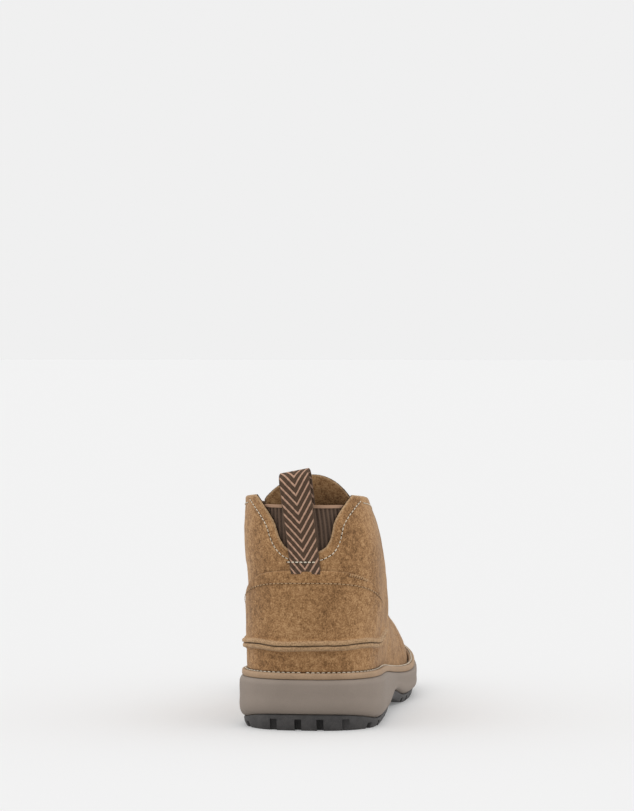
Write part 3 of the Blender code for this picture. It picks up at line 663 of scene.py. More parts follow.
def webbingFinish(name):
    # herringbone weave: pale lines that fall to the middle of the band, on ribbed brown; both are darkened
    # with painted shade in the hollows between twists and ribs
    made, tree, shader = finish(name, 0.85, 0.2)
    across = markOf(tree, "across")
    along = markOf(tree, "along")
    fall = reckon(tree, "MULTIPLY", reckon(tree, "ABSOLUTE", across), webbingLook["armSlope"])
    phase = reckon(tree, "DIVIDE", reckon(tree, "SUBTRACT", along, fall), webbingLook["chevronPitch"])
    wobble = objectNoise(tree, 900.0, 2.0)
    phase = reckon(tree, "ADD", phase, remap(tree, wobble, 0.2, 0.8, -0.05, 0.05))
    place = reckon(tree, "FRACT", phase)
    gap = reckon(tree, "ABSOLUTE", reckon(tree, "SUBTRACT", place, 0.5))
    slant = math.hypot(1, webbingLook["armSlope"])
    reach = webbingLook["lineWidth"] / webbingLook["chevronPitch"] * 0.62 * slant
    line = remap(tree, gap, reach * 0.75, reach * 1.15, 1.0, 0.0)
    selvedge = remap(tree, reckon(tree, "ABSOLUTE", across), 0.0080, 0.0086, 1.0, 0.0)
    line = reckon(tree, "MULTIPLY", line, selvedge)
    twist = reckon(tree, "SINE",
                   reckon(tree, "MULTIPLY", reckon(tree, "ADD", along, across), 2 * math.pi / 0.0009))
    rib = reckon(tree, "SINE", reckon(tree, "MULTIPLY", phase, 2 * math.pi * 5))
    weave = reckon(tree, "MULTIPLY", reckon(tree, "ADD", twist, rib), 0.25)
    # painted shade: the brown is darker in the hollows of the weave and lighter on its raised twists and ribs
    brown = blendColour(tree, remap(tree, weave, -0.4, 0.5), webbingLook["brown"], webbingLook["brownLight"])
    # the pale lines are the band's own colour, darker between twists as painted shade
    pale = blendColour(tree, remap(tree, twist, -1.0, 1.0, 0.15, 1.0), (0.33, 0.19, 0.125),
                       webbingLook["line"])
    tree.links.new(blendColour(tree, line, brown, pale), shader.inputs["Base Color"])
    height = reckon(tree, "ADD", weave, reckon(tree, "MULTIPLY", line, 1.1))
    bump(tree, shader, height, 0.00028)
    return made


def elasticFinish(name):
    # ribbed elastic, its channels darkened with painted shade
    made, tree, shader = finish(name, 0.9, 0.15)
    groove = markOf(tree, "groove")
    weave = objectNoise(tree, 1400.0, 3.0)
    # painted shade: the groove mark, 1 in the rib channels, darkens the colour there
    colour = blendColour(tree, groove, (0.125, 0.082, 0.058), (0.045, 0.029, 0.021))
    colour = blendColour(tree, remap(tree, weave, 0.35, 0.7, 0.0, 0.35), colour, (0.17, 0.115, 0.082))
    colour = blendColour(tree, markOf(tree, "binding"), colour, (0.33, 0.205, 0.135))
    tree.links.new(colour, shader.inputs["Base Color"])
    bump(tree, shader, weave, 0.00012)
    return made


def cordFinish(name):
    # braided cord: two sets of strands wound the opposite ways, the gaps between them darkened with painted
    # shade
    made, tree, shader = finish(name, 0.85, 0.2)
    across = markOf(tree, "across")
    along = reckon(tree, "MULTIPLY", markOf(tree, "along"), 2 * math.pi / 0.0022)
    one = reckon(tree, "SINE", reckon(tree, "ADD", along, reckon(tree, "MULTIPLY", across, 4.0)))
    two = reckon(tree, "SINE", reckon(tree, "SUBTRACT", along, reckon(tree, "MULTIPLY", across, 4.0)))
    strand = reckon(tree, "MAXIMUM", one, two)
    # painted shade: darker where neither strand is raised, lighter on the strands' crowns
    shade = blendColour(tree, remap(tree, strand, -0.3, 1.0), (0.045, 0.027, 0.018), (0.16, 0.102, 0.066))
    tree.links.new(shade, shader.inputs["Base Color"])
    bump(tree, shader, strand, 0.00025)
    return made


webbing = webbingFinish("loopWebbing")
elastic = elasticFinish("goreElastic")
cord = cordFinish("laceCord")
print("materials made")

# Upper: both halves of one wall, open at the collar, the notch behind, the throat and underneath
notchShape = {"depth": 0.0345, "topWidth": 0.059, "footWidth": 0.018, "footRound": 0.0045}
notchRows = ((0.00, 0.00), (0.17, 0.22), (0.56, 0.46), (0.90, 0.86), (1.00, 1.00), (1.30, 1.25))
throatShape = {"topWidth": 0.024, "footWidth": 0.012, "front": 0.158, "rear": 0.0815}
upperLook = {"edgeRound": 0.0012, "relief": 0.00022, "creaseDepth": 0.0011}
# Share of length, bend, width and depth of the creases over the ball
ballCreases = ((0.60, 0.05, 0.010, 1.0), (0.635, -0.04, 0.008, 0.8), (0.675, 0.06, 0.009, 0.6))
# Share of length, height, tilt, reach and depth of the creases at the ankle and on the quarters
quarterCreases = ((0.40, 0.030, 0.5, 0.09, 0.8), (0.46, 0.024, 0.9, 0.07, 0.7))


def notchHalf(z):
    # half width of the notch at a height, -1 below its foot
    foot = last["collarHeight"] - notchShape["depth"]
    share = (z - foot) / notchShape["depth"]
    half = mix(notchShape["footWidth"], notchShape["topWidth"], smooth(notchRows, 1, share)) / 2
    return np.where(share > 0, half * roundEnd((z - foot) / notchShape["footRound"], 2.2), -1)


def notchLean(z):
    # centre of the notch, leaning with the collar
    return -last["collarLean"] * np.clip((z - last["collarHeight"]) / notchShape["depth"] + 1, 0, 1.3)


def throatHalf(y):
    # half width of the throat, narrowing forwards to a round end
    share = np.clip((y - throatShape["rear"]) / (throatShape["front"] - throatShape["rear"]), 0, 1)
    half = mix(throatShape["topWidth"], throatShape["footWidth"], share) / 2
    return half * roundEnd((throatShape["front"] - y) / (throatShape["footWidth"] / 2), 2)


def throatCentre(y):
    # centre of the upper at the ridge, no higher than the collar
    return upperShape(y, np.minimum(ridgeHeight(y), ridge(1.0)[1]))[0]


def upperSpan(ring, side):
    # shares along a ring between which the upper stands, from the notch to the throat
    sample = np.linspace(0, 1, 900)[None, :] ** 1.5
    points = surfacePoint(sample, ring[:, None], side)
    x, y, z = points[..., 0], points[..., 1], points[..., 2]
    start = takeAt(np.repeat(sample, len(ring), 0), firstCrossing(side * (x - notchLean(z)) - notchHalf(z)))
    sample = 1 - sample
    points = surfacePoint(sample, ring[:, None], side)
    x, y = points[..., 0], points[..., 1]
    x[:, 0] = throatCentre(y[:, 0])
    opening = throatHalf(y)
    end = takeAt(np.repeat(sample, len(ring), 0), firstCrossing(side * (x - throatCentre(y)) - opening))
    return start, end


rings = np.concatenate([
    np.linspace(0, 0.655, 46), np.linspace(0.66, 0.73, 30), np.linspace(0.74, 0.985, 22),
                        [0.992, 0.996, 0.9985, 1.0],
])
columnShares = stations(120)
parts, partFaces, edges, count = [], [], [], 0
for side in (1, -1):
    start, end = upperSpan(rings, side)
    grid = surfacePoint(mix(start[:, None], end[:, None], columnShares[None, :]), rings[:, None], side)
    for closed, column in ((end >= 1, -1), (start <= 0, 0)):
        # both halves meet on the centre line where the upper is closed
        grid[closed, column, 0] = upperShape(grid[closed, column, 1], grid[closed, column, 2])[0]
    edges += [refine(grid[-1], 0.0004), grid[start > 0, 0], grid[end < 1, -1]]
    parts.append(grid.reshape(-1, 3))
    partFaces += gridFaces(len(rings), len(columnShares), count, flip=side > 0)
    count += len(rings) * len(columnShares)
place, away, faces = weld(np.concatenate(parts), partFaces)
away, faces = turnedOver(away, faces, (away[:, 0] * (place[:, 0] - soleCentre(place[:, 1]))).sum() < 0)
upperEdge = np.concatenate([refine(edge, 0.0004) for edge in edges])
gap = edgeDistance(place, upperEdge)
floorGap = place[:, 2] - featherLine(place[:, 1])


def creases(points):
    # soft troughs and ridges: heights over the ball, at the ankle and on the quarters
    y = points[:, 1] / sole["length"]
    height = points[:, 2] - featherLine(points[:, 1])
    flat = points[:, 0]
    total = np.zeros(len(points))
    for where, bend, width, depth in ballCreases:
        line = where + bend * (flat / 0.04) ** 2 - y
        total -= depth * np.exp(-((line / width) ** 2)) * ease(height / 0.02)
        total += depth * 0.6 * np.exp(-(((line - 1.9 * width) / (1.3 * width)) ** 2)) * ease(height / 0.02)
    for where, rise, tilt, reach, depth in quarterCreases:
        line = (height - rise) / sole["length"] - tilt * (y - where)
        total -= depth * np.exp(-((line / 0.008) ** 2)) * np.exp(-(((y - where) / reach) ** 2))
    return total


relief = upperLook["relief"] * (softNoise(place, 0.022, 3) + 0.6 * softNoise(place, 0.009, 4))
relief = (relief + upperLook["creaseDepth"] * creases(place)) * ease(floorGap / 0.008) * ease(gap / 0.006)
covered = (place[:, 1] < 0.07) & (place[:, 2] < 0.094)
relief = np.where(covered, -0.0001, relief)
full = roundEnd(gap / upperLook["edgeRound"], 2)
half = last["wall"] / 2
points, faces = doubleSheet(place, away, faces, relief - half * (1 - full), -last["wall"] + half * (1 - full))
raw = rawMark(gap, 0.0006, 0.0007)
finishOf = np.repeat([0, 1], len(faces) // 2)
makePiece("upperSuede", points, faces, [suede, liningLeather], "suede", ["upper"], {"raw": raw}, finishOf)


overlayLook = {"edgeRound": 0.0009, "relief": 0.00018}


def overlay(name, grid, thickness, replaced, extra=None, marks=None, fadeEnds=0.0):
    # flat piece laid on the upper: its skin rises from the border in a quarter round
    rows, columns = grid.shape[:2]
    place, away, faces = weld(grid, gridFaces(rows, columns), 1e-9)
    centre = np.stack([soleCentre(place[:, 1]), place[:, 1] * 0 + 0.06, place[:, 2]], axis=-1)
    away, faces = turnedOver(away, faces, (away * (place - centre)).sum() < 0)
    gap = edgeDistance(place, borderOf(grid, borderStep, extra is None))
    fade = 1.0
    if fadeEnds:
        ends = np.concatenate([refine(grid[:, 0], 0.001), refine(grid[:, -1], 0.001)])
        fade = ease(edgeDistance(place, ends) / fadeEnds)
    full = roundEnd(gap / overlayLook["edgeRound"], 2)
    texture = softNoise(place, 0.017, 8) + 0.7 * softNoise(place, 0.007, 9)
    rise = thickness + overlayLook["relief"] * texture * ease(gap / 0.004)
    if extra is not None:
        rise = rise + extra[0].ravel()
        full = np.minimum(full, extra[1].ravel())
    points, faces = doubleSheet(place, away, faces, laidOn + rise * full * fade, laidOn)
    marks = {key: np.tile(value.ravel(), 2) for key, value in (marks or {}).items()}
    marks.setdefault("raw", rawMark(gap, 0.0003, 0.0007))
    return makePiece(name, points, faces, [suede], "suede", [replaced], marks)


# Heel panel and foxing, whose edges turn out side by side as a pinched raw seam
seamShape = {"height": 0.0485, "sideRise": 0.0026, "wave": 0.0006, "fineWave": 0.0005, "proud": 0.0021,
             "ply": 0.0024,
             "foxingFade": 0.012}
panelShape = {"height": 0.0918, "drop": 0.0195, "reach": 0.068, "topReach": 0.037, "thickness": 0.0016}
seamProfile = ((0.0, 0.0), (0.05, 0.45), (0.18, 0.85), (0.4, 1.0), (1.5, 1.0), (2.0, 0.96), (2.35, 0.8),
               (2.6, 0.52),
               (2.9, 0.25), (3.4, 0.07), (4.2, 0.0), (60, 0.0))


def seamHeight(depth, turn):
    # height of the pinch seam: level, with waves, and rising to the lateral side
    wave = seamShape["wave"] * np.sin(depth / panelShape["reach"] * 9)
    wave = wave + seamShape["sideRise"] * np.clip(turn, 0, 1) ** 2.5
    return seamShape["height"] + wave + seamShape["fineWave"] * np.sin(turn * 11 + 0.8) * np.cos(turn * 5)


def heelGrid(turn, reach, height):
    # points round the heel: depth grows with the turn, and the half width follows the upper
    depth = reach * turnShare(turn)
    y = heelBack(height) + depth
    centre, half = upperShape(y, height)
    return np.stack([centre + np.sign(turn) * np.where(depth > 0, half, 0), y, height], axis=-1)


turns = np.sin(np.linspace(-1, 1, 241) * np.pi / 2)[None, :]
lipRows = np.array([0, 0.05, 0.12, 0.25, 0.5, 1.0, 1.5, 1.8, 2.05, 2.25, 2.4, 2.55, 2.7, 2.9, 3.2, 3.6, 4.2,
                    5, 6]) / 1000
bodyRows = np.concatenate([np.linspace(0.03, 0.97, 40), 1 - np.array([0.018, 0.011, 0.006, 0.0025, 0.0])])


def pinchedPiece(name, replaced, far, topReach, sign, fadeEnds=0.0):
    # rows from the seam: the lip's own millimetres first, then shares of the way to the far edge
    lip = lipRows[:, None] * (1 + 0.10 * np.sin(turns * 23) + 0.06 * np.sin(turns * 57 + 1))
    seam = seamHeight(panelShape["reach"] * turnShare(turns), turns)
    near = seam + sign * (0.00015 + lip)
    body = mix(near[-1:], far, bodyRows[:, None])
    height = np.concatenate([near, body])
    share = np.concatenate([0 * lipRows, bodyRows])[:, None]
    grid = heelGrid(turns + 0 * height, mix(panelShape["reach"], topReach, share), height)
    away = np.abs(height - seam) * 1000
    shape = np.interp(away, [row[0] for row in seamProfile], [row[1] for row in seamProfile])
    ragged = 1 + 0.13 * np.sin(turns * 31 + sign) + 0.10 * np.sin(turns * 71 + 2 * sign)
    rise = seamShape["proud"] * shape * ragged
    closing = np.interp(away, [0, 0.16, 0.3, 0.6], [0, 0.55, 0.85, 1])
    raw = 1 - ease((away - seamShape["ply"] * 1000) / 0.8)
    overlay(name, grid, panelShape["thickness"], replaced, (rise, closing), {"raw": raw}, fadeEnds)


def panelTop(turn):
    # top of the heel panel, lower towards its sides
    return panelShape["height"] - panelShape["drop"] * turnShare(turn) ** 1.5


foxingFoot = weltTop(panelShape["reach"] * turnShare(turns) + heelBack(sole["heelStack"])) + fit
pinchedPiece("heelPanelSuede", "heel_panel", panelTop(turns), panelShape["topReach"], 1)
pinchedPiece("heelFoxingSuede", "heel_foxing", foxingFoot, panelShape["reach"], -1, seamShape["foxingFade"])

# Rear gore: ribbed elastic inside the notch, bound along its top
goreShape = {"below": 0.0067, "height": 0.0355, "reach": 0.024, "thickness": 0.0014, "ribs": 0.0030,
             "ribDepth": 0.0006,
             "binding": 0.0019, "bindingProud": 0.0008}
turn = np.linspace(-1, 1, 301)[None, :]
top = last["collarHeight"] - goreShape["below"]
height = np.concatenate([np.linspace(top - goreShape["height"], top - 0.0024, 24),
                         top - np.array([2.1, 1.9, 1.8, 1.6, 1.2, 0.8, 0.4, 0.2, 0.1, 0.0]) / 1000])[:, None]
grid = heelGrid(turn + 0 * height, goreShape["reach"], height + 0 * turn)
place, away, faces = weld(grid, gridFaces(*grid.shape[:2]), 1e-9)
away, faces = turnedOver(away, faces, away[:, 1].sum() > 0)
span = np.cumsum(np.concatenate([[0], np.linalg.norm(np.diff(grid[0], axis=0), axis=1)]))
wave = np.cos(2 * np.pi * np.broadcast_to(span, grid.shape[:2]).ravel() / goreShape["ribs"])
bound = (top - place[:, 2] < goreShape["binding"]).astype(float)
rib = -goreShape["ribDepth"] / 2 * (1 - wave) * (1 - bound) + goreShape["bindingProud"] * 0.5 * bound
near = last["wall"] + curvedFit
gap = edgeDistance(place, borderOf(grid, borderStep))
full = roundEnd(gap / 0.0006, 2)
points, faces = doubleSheet(place, away, faces, -near - 0.0004 + (rib + 0.0002) * full,
                            -near - 0.0004
                            - (goreShape["thickness"] + goreShape["bindingProud"] * bound) * full)
# the groove mark carries the painted shade of the rib channels
makePiece("goreElastic", points, faces, [elastic], "gore_elastic", ["rear_gore"],
          {"groove": np.tile((1 - wave) / 2, 2), "binding": np.tile(bound, 2)})


# Sole
def ringStack(name, stack, finishes, slot, replaced, looped=False, **more):
    # closed body through outline rings, its ends closed by strips between the two sides
    stack = np.asarray(stack)
    rows, size = stack.shape[:2]
    faces = gridFaces(rows, size, closed=True)
    if looped:
        low = (rows - 1) * size
        faces += [[low + i, low + (i + 1) % size, (i + 1) % size, i] for i in range(size)]
    else:
        for first in (0, (rows - 1) * size):
            for i in range(size // 2):
                corners = [i, i + 1, (size - i - 1) % size, (size - i) % size]
                kept = [first + corner for corner in dict.fromkeys(corners)]
                if len(kept) > 2:
                    faces.append(kept if first == 0 else kept[::-1])
    return makePiece(name, stack, faces, finishes, slot, replaced, **more)


def outward(piece):
    # faces turned outwards, smooth but for corners of more than 50 degrees
    shaped = bmesh.new()
    shaped.from_mesh(piece.data)
    bmesh.ops.recalc_face_normals(shaped, faces=shaped.faces)
    shaped.to_mesh(piece.data)
    shaped.free()
    piece.data.shade_smooth()
    piece.data.set_sharp_from_angle(angle=math.radians(50))


midsoleSide = ((0.00, 0.0034), (0.03, 0.0022), (0.08, 0.0011), (0.15, 0.0004), (0.26, 0.0), (0.5, 0.0001),
               (0.80, 0.0),
               (0.88, 0.0001), (0.93, 0.0005), (0.97, 0.0011), (1.00, 0.0019))
shares = np.concatenate([np.linspace(0, 0.1, 8), np.linspace(0.13, 0.85, 14), np.linspace(0.87, 1, 10)])
stack = [soleRing(float(smooth(midsoleSide, 1, s)), lambda y, s=s: mix(midsoleBottom(y), midsoleTop(y), s))
         for s in shares]
outward(ringStack("midsoleFoam", stack, [foam], "midsole_foam", ["midsole"]))

inside = last["inset"] - sole["weltGap"]
tuck = sole["weltTuck"]
weltProfile = (
    (last["inset"] - curvedFit, 0.0), (tuck + 0.0003, 0.0), (tuck, 0.0004), (tuck, 0.0022),
               (tuck + 0.0001, 0.0028),
    (tuck + 0.0004, 0.0032), (tuck + 0.0009, 0.0034), (tuck + 0.0016, 0.0034), (tuck + 0.0019, 0.0031),
    (tuck + 0.0024, 0.0031), (tuck + 0.0027, 0.0034), (inside - 0.0003, 0.0034), (inside, 0.0031),
)
stack = [soleRing(inset, lambda y, rise=rise: featherLine(y) + rise, 150) for inset, rise in weltProfile]
outward(ringStack("weltStrip", stack, [weltLeather], "welt_leather", ["welt"], looped=True))

insoleEdge = last["inset"] + last["wall"] + 0.0022
stack = [soleRing(insoleEdge + inset, lambda y, rise=rise: featherLine(y) + rise, 70)
         for inset,
         rise in ((0, 0), (0, 0.0026), (0.0003, 0.0034), (0.0009, 0.0039), (0.002, 0.004), (0.02, 0.0042))]
outward(ringStack("insoleLeather", stack, [insoleLeather], "insole_leather", ["insole"]))
print("upper and sole made")

# Outsole: a slab cut into chevron lugs below and blocks behind, its edges softened
treadShape = {"lugDepth": 0.0034, "groove": 0.004, "heelPitch": 0.0145, "forefootPitch": 0.0155,
              "chevronReach": 0.007,
              "rearLength": 0.009, "rearHeight": 0.0065, "ahead": 0.012, "heelGrooves": 5,
              "forefootStart": 0.545,
              "forefootGrooves": 8, "rearShares": (-0.44, -0.10, 0.20, 0.54), "soften": 0.0004}
shape = ((0.0, 0.0016), (0.12, 0.0012), (0.45, 0.0004), (0.9, 0.0), (1.0, 0.0004))
stack = [soleRing(sole["outsoleTuck"] + inset, lambda y, s=s: mix(soleBottom(y), outsoleTop(y), s), 80)
         for s, inset in shape]
outsole = ringStack("outsoleRubber", stack, [rubber], "outsole_rubber", ["outsole"])
outward(outsole)


def cutter(outlines):
    # upright blocks from below the sole to their own height, as one mesh
    points, faces = [], []
    for outline, height in outlines:
        first, size = len(points), len(outline)
        points += [(x, y, -0.01) for x, y in outline] + [(x, y, height) for x, y in outline]
        faces += [[first + i for i in range(size)][::-1], [first + size + i for i in range(size)]]
        for i in range(size):
            after = (i + 1) % size
            faces.append([first + i, first + after, first + size + after, first + size + i])
    mesh = bpy.data.meshes.new("cutter")
    mesh.from_pydata((np.array(points) + partOrigin).tolist(), [], faces)
    return bpy.data.objects.new("cutter", mesh)


outlines = []
halfGroove = treadShape["groove"] / 2
grooveAt = [treadShape["ahead"] + i * treadShape["heelPitch"] for i in range(1, treadShape["heelGrooves"])]
forefoot = treadShape["forefootStart"] * sole["length"]
grooveAt += [forefoot + i * treadShape["forefootPitch"] for i in range(treadShape["forefootGrooves"])]
for y in grooveAt:
    reach, middle = sole["ballWidth"], float(soleCentre(y))
    fall = treadShape["chevronReach"] * reach / (sole["heelWidth"] / 2)
    front = [(middle - reach, y - fall), (middle, y), (middle + reach, y - fall)]
    outline = [(a, b - halfGroove) for a, b in front] + [(a, b + halfGroove) for a, b in front[::-1]]
    outlines.append((outline, float(soleBottom(y)) + treadShape["lugDepth"]))
for share in treadShape["rearShares"]:
    x = share * sole["heelWidth"] / 2
    left, right, far = x - halfGroove, x + halfGroove, treadShape["rearLength"]
    outlines.append(([(left, -0.01), (right, -0.01), (right, far), (left, far)], treadShape["rearHeight"]))
grooves = cutter(outlines)
bpy.context.scene.collection.objects.link(grooves)
cutting = outsole.modifiers.new("grooves", "BOOLEAN")
cutting.operation, cutting.solver, cutting.object = "DIFFERENCE", "EXACT", grooves
cutting.use_self = True
softening = outsole.modifiers.new("soften", "BEVEL")
softening.width, softening.segments, softening.limit_method = treadShape["soften"], 2, "ANGLE"
softening.angle_limit = math.radians(40)
bpy.context.view_layer.update()
finished = bpy.data.meshes.new_from_object(outsole.evaluated_get(bpy.context.evaluated_depsgraph_get()))
outsole.modifiers.clear()
outsole.data = finished
finished.set_sharp_from_angle(angle=math.radians(35))
bpy.data.objects.remove(grooves)
print("outsole cut", len(finished.polygons), "faces")


def bandBody(name, rows, halfThick, wide, columns, finishes, slot, replaced):
    # band along a path: rows give its points, its way up and its flat normal, its selvedges rounded
    across = np.linspace(-1, 1, columns)
    full = roundEnd((1 - np.abs(across)) * wide / 2 / 0.0007, 2) * halfThick + 0.00005
    skin, lining = [], []
    for centre, away in rows:
        skin.append(centre + away * full[:, None])
        lining.append(centre - away * full[:, None])
    ring = np.concatenate([np.array(skin), np.array(lining)[:, ::-1]], axis=1)
    length = runLength(ring[:, columns // 2])
    marks = {"across": np.tile(np.concatenate([across, across[::-1]]) * wide / 2, len(ring)),
             "along": np.repeat(length, ring.shape[1])}
    size = ring.shape[1]
    faces = gridFaces(len(ring), size, closed=True)
    for first in (0, (len(ring) - 1) * size):
        faces += [[first + i, first + i + 1, first + size - i - 2, first + size - i - 1]
                  for i in range(columns - 1)]
    piece = makePiece(name, ring, faces, finishes, slot, replaced, marks)
    outward(piece)
    return piece


# Pull loop: up the outside of the heel, over its fold and down inside the gore
loopShape = {"width": 0.0175, "thickness": 0.0015, "height": 0.0128, "gap": 0.012, "tail": 0.026,
             "lean": math.radians(7),
             "tilt": 1.6, "proud": 0.0042}
half = loopShape["thickness"] / 2
foot = panelShape["height"] - 0.002
crown = last["collarHeight"] + loopShape["height"] - half
turn = loopShape["gap"] / 2
rise = np.linspace(0, 1, 60)
upZ = mix(foot, crown - turn, rise)
foldY = heelBack(last["collarHeight"]) - loopShape["proud"] + turn
upY = mix(heelBack(upZ) - 0.0001 - half, foldY - turn, ease((rise - 0.12) / 0.7))
angle = np.linspace(np.pi, 0, 26)[1:-1]
down = np.linspace(0, 1, 30)
y = np.concatenate([upY, foldY + turn * np.cos(angle), np.full(30, foldY + turn)])
z = np.concatenate([upZ, crown - turn + turn * np.sin(angle),
                    mix(crown - turn, last["collarHeight"] - loopShape["tail"], down)])
hug = np.concatenate([1 - ease((rise - 0.1) / 0.5), np.zeros(24), 0.5 * ease(down * 1.6)])
slope = np.gradient(np.stack([y, z], axis=-1), axis=0)
slope = unit(slope)
across = loopShape["width"] / 2 * np.linspace(-1, 1, 41)
power = sole["heelPower"]
bend = sole["heelRound"] * (1 - (1 - (np.abs(across) / (sole["heelWidth"] / 2)) ** power) ** (1 / power))
tilt = loopShape["tilt"] * math.tan(loopShape["lean"]) * ease((z - foot) / (crown - foot))
rows = []
for i in range(len(y)):
    x = across - math.tan(loopShape["lean"]) * (z[i] - foot - 0.002)
    centre = np.stack([x, y[i] + hug[i] * bend, z[i] + across * tilt[i]], axis=-1)
    rows.append((centre, np.array([0, -slope[i, 1], slope[i, 0]])))
bandBody("pullLoopWebbing", rows, half, loopShape["width"], 41, [webbing], "loop_webbing", ["pull_loop"])

# Tongue: a padded flap under the throat, its top an arch above the collar
tongueShape = {"width": 0.060, "thickness": 0.0032, "gap": 0.0008, "proud": 0.0170, "edge": 0.0012,
               "footShare": 0.72,
               "first": 0.5625}
acrossShares = -np.cos(np.linspace(0, np.pi, 71))
lowRings = np.concatenate([tongueShape["first"] + np.array([0, 0.002, 0.005]), np.linspace(0.575, 1, 60)])
spread = mix(tongueShape["footShare"], 1.0,
             ease((lowRings - tongueShape["first"]) / (1 - tongueShape["first"]) * 1.4))
low = instepPoint(lowRings[:, None], tongueShape["width"] / 2 * spread[:, None] * acrossShares[None, :])
high = instepPoint(np.linspace(1, 1.4, 21)[:, None], tongueShape["width"] / 2 * acrossShares[None, :])
arch = np.maximum(1 - np.abs(acrossShares - 0.25 * (1 - acrossShares**2)) ** 2.2, 0) ** 0.8
climb = np.maximum((tongueShape["proud"] - high[0, :, 2] + high[0, :, 2].min()) * arch,
                   0) + tongueShape["edge"]
upperPart = []
for share in np.concatenate([np.linspace(0.05, 0.93, 20), [0.96, 0.98, 0.99, 1.0]]):
    target = high[0, :, 2] + share * climb
    upperPart.append([[np.interp(target[i], high[:, i, 2], high[:, i, axis]) for axis in range(3)]
                      for i in range(len(acrossShares))])
grid = np.concatenate([low, np.array(upperPart)])
place, away, faces = weld(grid, gridFaces(*grid.shape[:2]), 1e-9)
away, faces = turnedOver(away, faces, away[:, 1].sum() < 0)
gap = edgeDistance(place, borderOf(grid, borderStep))
middle = -(last["wall"] + tongueShape["gap"] + tongueShape["thickness"] / 2)
plump = tongueShape["thickness"] / 2 * (0.55 * roundEnd(gap / 0.0014, 2) + 0.45 * ease(gap / 0.008))
wrinkle = 0.00035 * softNoise(place, 0.02, 21) * ease(gap / 0.006)
points, faces = doubleSheet(place, away, faces, middle + plump + wrinkle * 0.5, middle - plump + wrinkle)
makePiece("tongueSuede", points, faces, [suede], "suede", ["tongue"], {"raw": rawMark(gap, 0.0004, 0.0008)})


def surfaceSpot(ring, across):
    # point of the upper and the way out there, from its neighbours along and across
    here = instepPoint(ring, across)
    along = instepPoint(ring + 0.01, across) - instepPoint(ring - 0.01, across)
    over = instepPoint(ring, across + 0.001) - instepPoint(ring, across - 0.001)
    out = np.cross(along, over)
    return here, unit(out)


# Eyestays beside the throat
eyeShape = {"width": 0.019, "edge": 0.0075, "first": 0.6875, "start": 0.68, "rings": (0.775, 0.855, 0.935),
            "thickness": 0.0016,
            "flange": 0.0084, "barrel": 0.0042, "bore": 0.0033, "lip": 0.0009}
stayRings = np.concatenate([
    eyeShape["first"] + np.array([0, 0.001, 0.003, 0.006]), np.linspace(0.697, 0.99, 70),
                            [0.994, 0.997, 0.999, 1.0],
])


def stayEdge(ring):
    # distance of the eyestay's inner edge from the ridge
    return throatHalf(np.minimum(ridge(ring)[0], throatShape["front"] - 0.006)) + 0.0006


def stayWidth(ring):
    # share of the eyestay's width, rounded off towards its lower end
    return 0.55 + 0.45 * roundEnd((ring - eyeShape["start"] + 0.02) / 0.12, 2)


for side, word in ((1, "lateral"), (-1, "medial")):
    width = eyeShape["width"] * stayWidth(stayRings)[:, None]
    reach = stayEdge(stayRings)[:, None] + width * stations(44)[None, :]
    grid = instepPoint(stayRings[:, None], side * reach)
    overlay("eyestaySuede_" + word, grid, eyeShape["thickness"], "eyestay_" + word)

# Eyelets: rolled rings, turned round the surface's own normal
seat = eyeShape["thickness"] + 0.0003
turn = np.linspace(0, 2 * np.pi, 40, endpoint=False)
bore, barrel, flange, lip = (eyeShape[key] for key in ("bore", "barrel", "flange", "lip"))
# Radius and height of the ring's section, from the foot of the bore over the lip and back to its foot
profile = np.array([
    (bore / 2, -0.0042), (bore / 2, 0.0), (bore / 2 + 0.0002, lip * 0.7), (bore / 2 + 0.0007, lip),
    (barrel / 2 + 0.0006, lip * 0.92), (flange / 2 - 0.0006, lip * 0.55), (flange / 2 - 0.0001, lip * 0.3),
    (flange / 2, 0.0), (flange / 2 - 0.0003, -0.0002), (barrel / 2, -0.0003), (barrel / 2, -0.0042),
])
for side, word in ((1, "lateral"), (-1, "medial")):
    for number, ring in enumerate(eyeShape["rings"], 1):
        point, out = surfaceSpot(ring, side * (throatHalf(ridge(ring)[0]) + eyeShape["edge"]))
        flat = np.cross(out, (0, 1, 0))
        flat = unit(flat)
        other = np.cross(out, flat)
        circle = np.cos(turn)[:, None] * flat + np.sin(turn)[:, None] * other
        rows = point + out * (seat + profile[:, 1, None, None]) + circle[None] * profile[:, 0, None, None]
        count = len(profile) * len(turn)
        faces = gridFaces(len(profile), len(turn), closed=True)
        low = (len(profile) - 1) * len(turn)
        faces += [[low + i, low + (i + 1) % len(turn), (i + 1) % len(turn), i] for i in range(len(turn))]
        outward(makePiece(f"eyeletRing_{word}_{number}", rows, faces, [bronze], "eyelet_metal",
                          [f"eyelet_{word}_{number}"]))


def curveThrough(spots, count):
    # Catmull-Rom curve through points, evenly spaced
    spots = np.asarray(spots, float)
    wide = np.concatenate([[2 * spots[0] - spots[1]], spots, [2 * spots[-1] - spots[-2]]])
    s = np.linspace(0, 1, 12, endpoint=False)[:, None]
    line = []
    for a, b, c, d in zip(wide, wide[1:], wide[2:], wide[3:]):
        line.append(0.5 * (2 * b + (c - a) * s + (2 * a - 5 * b + 4 * c - d) * s**2
                           + (3 * b - a - 3 * c + d) * s**3))
    line = np.concatenate(line + [spots[-1:]])
    length = runLength(line)
    at = np.linspace(0, length[-1], count)
    return readAlong(line, length, at), length[-1]


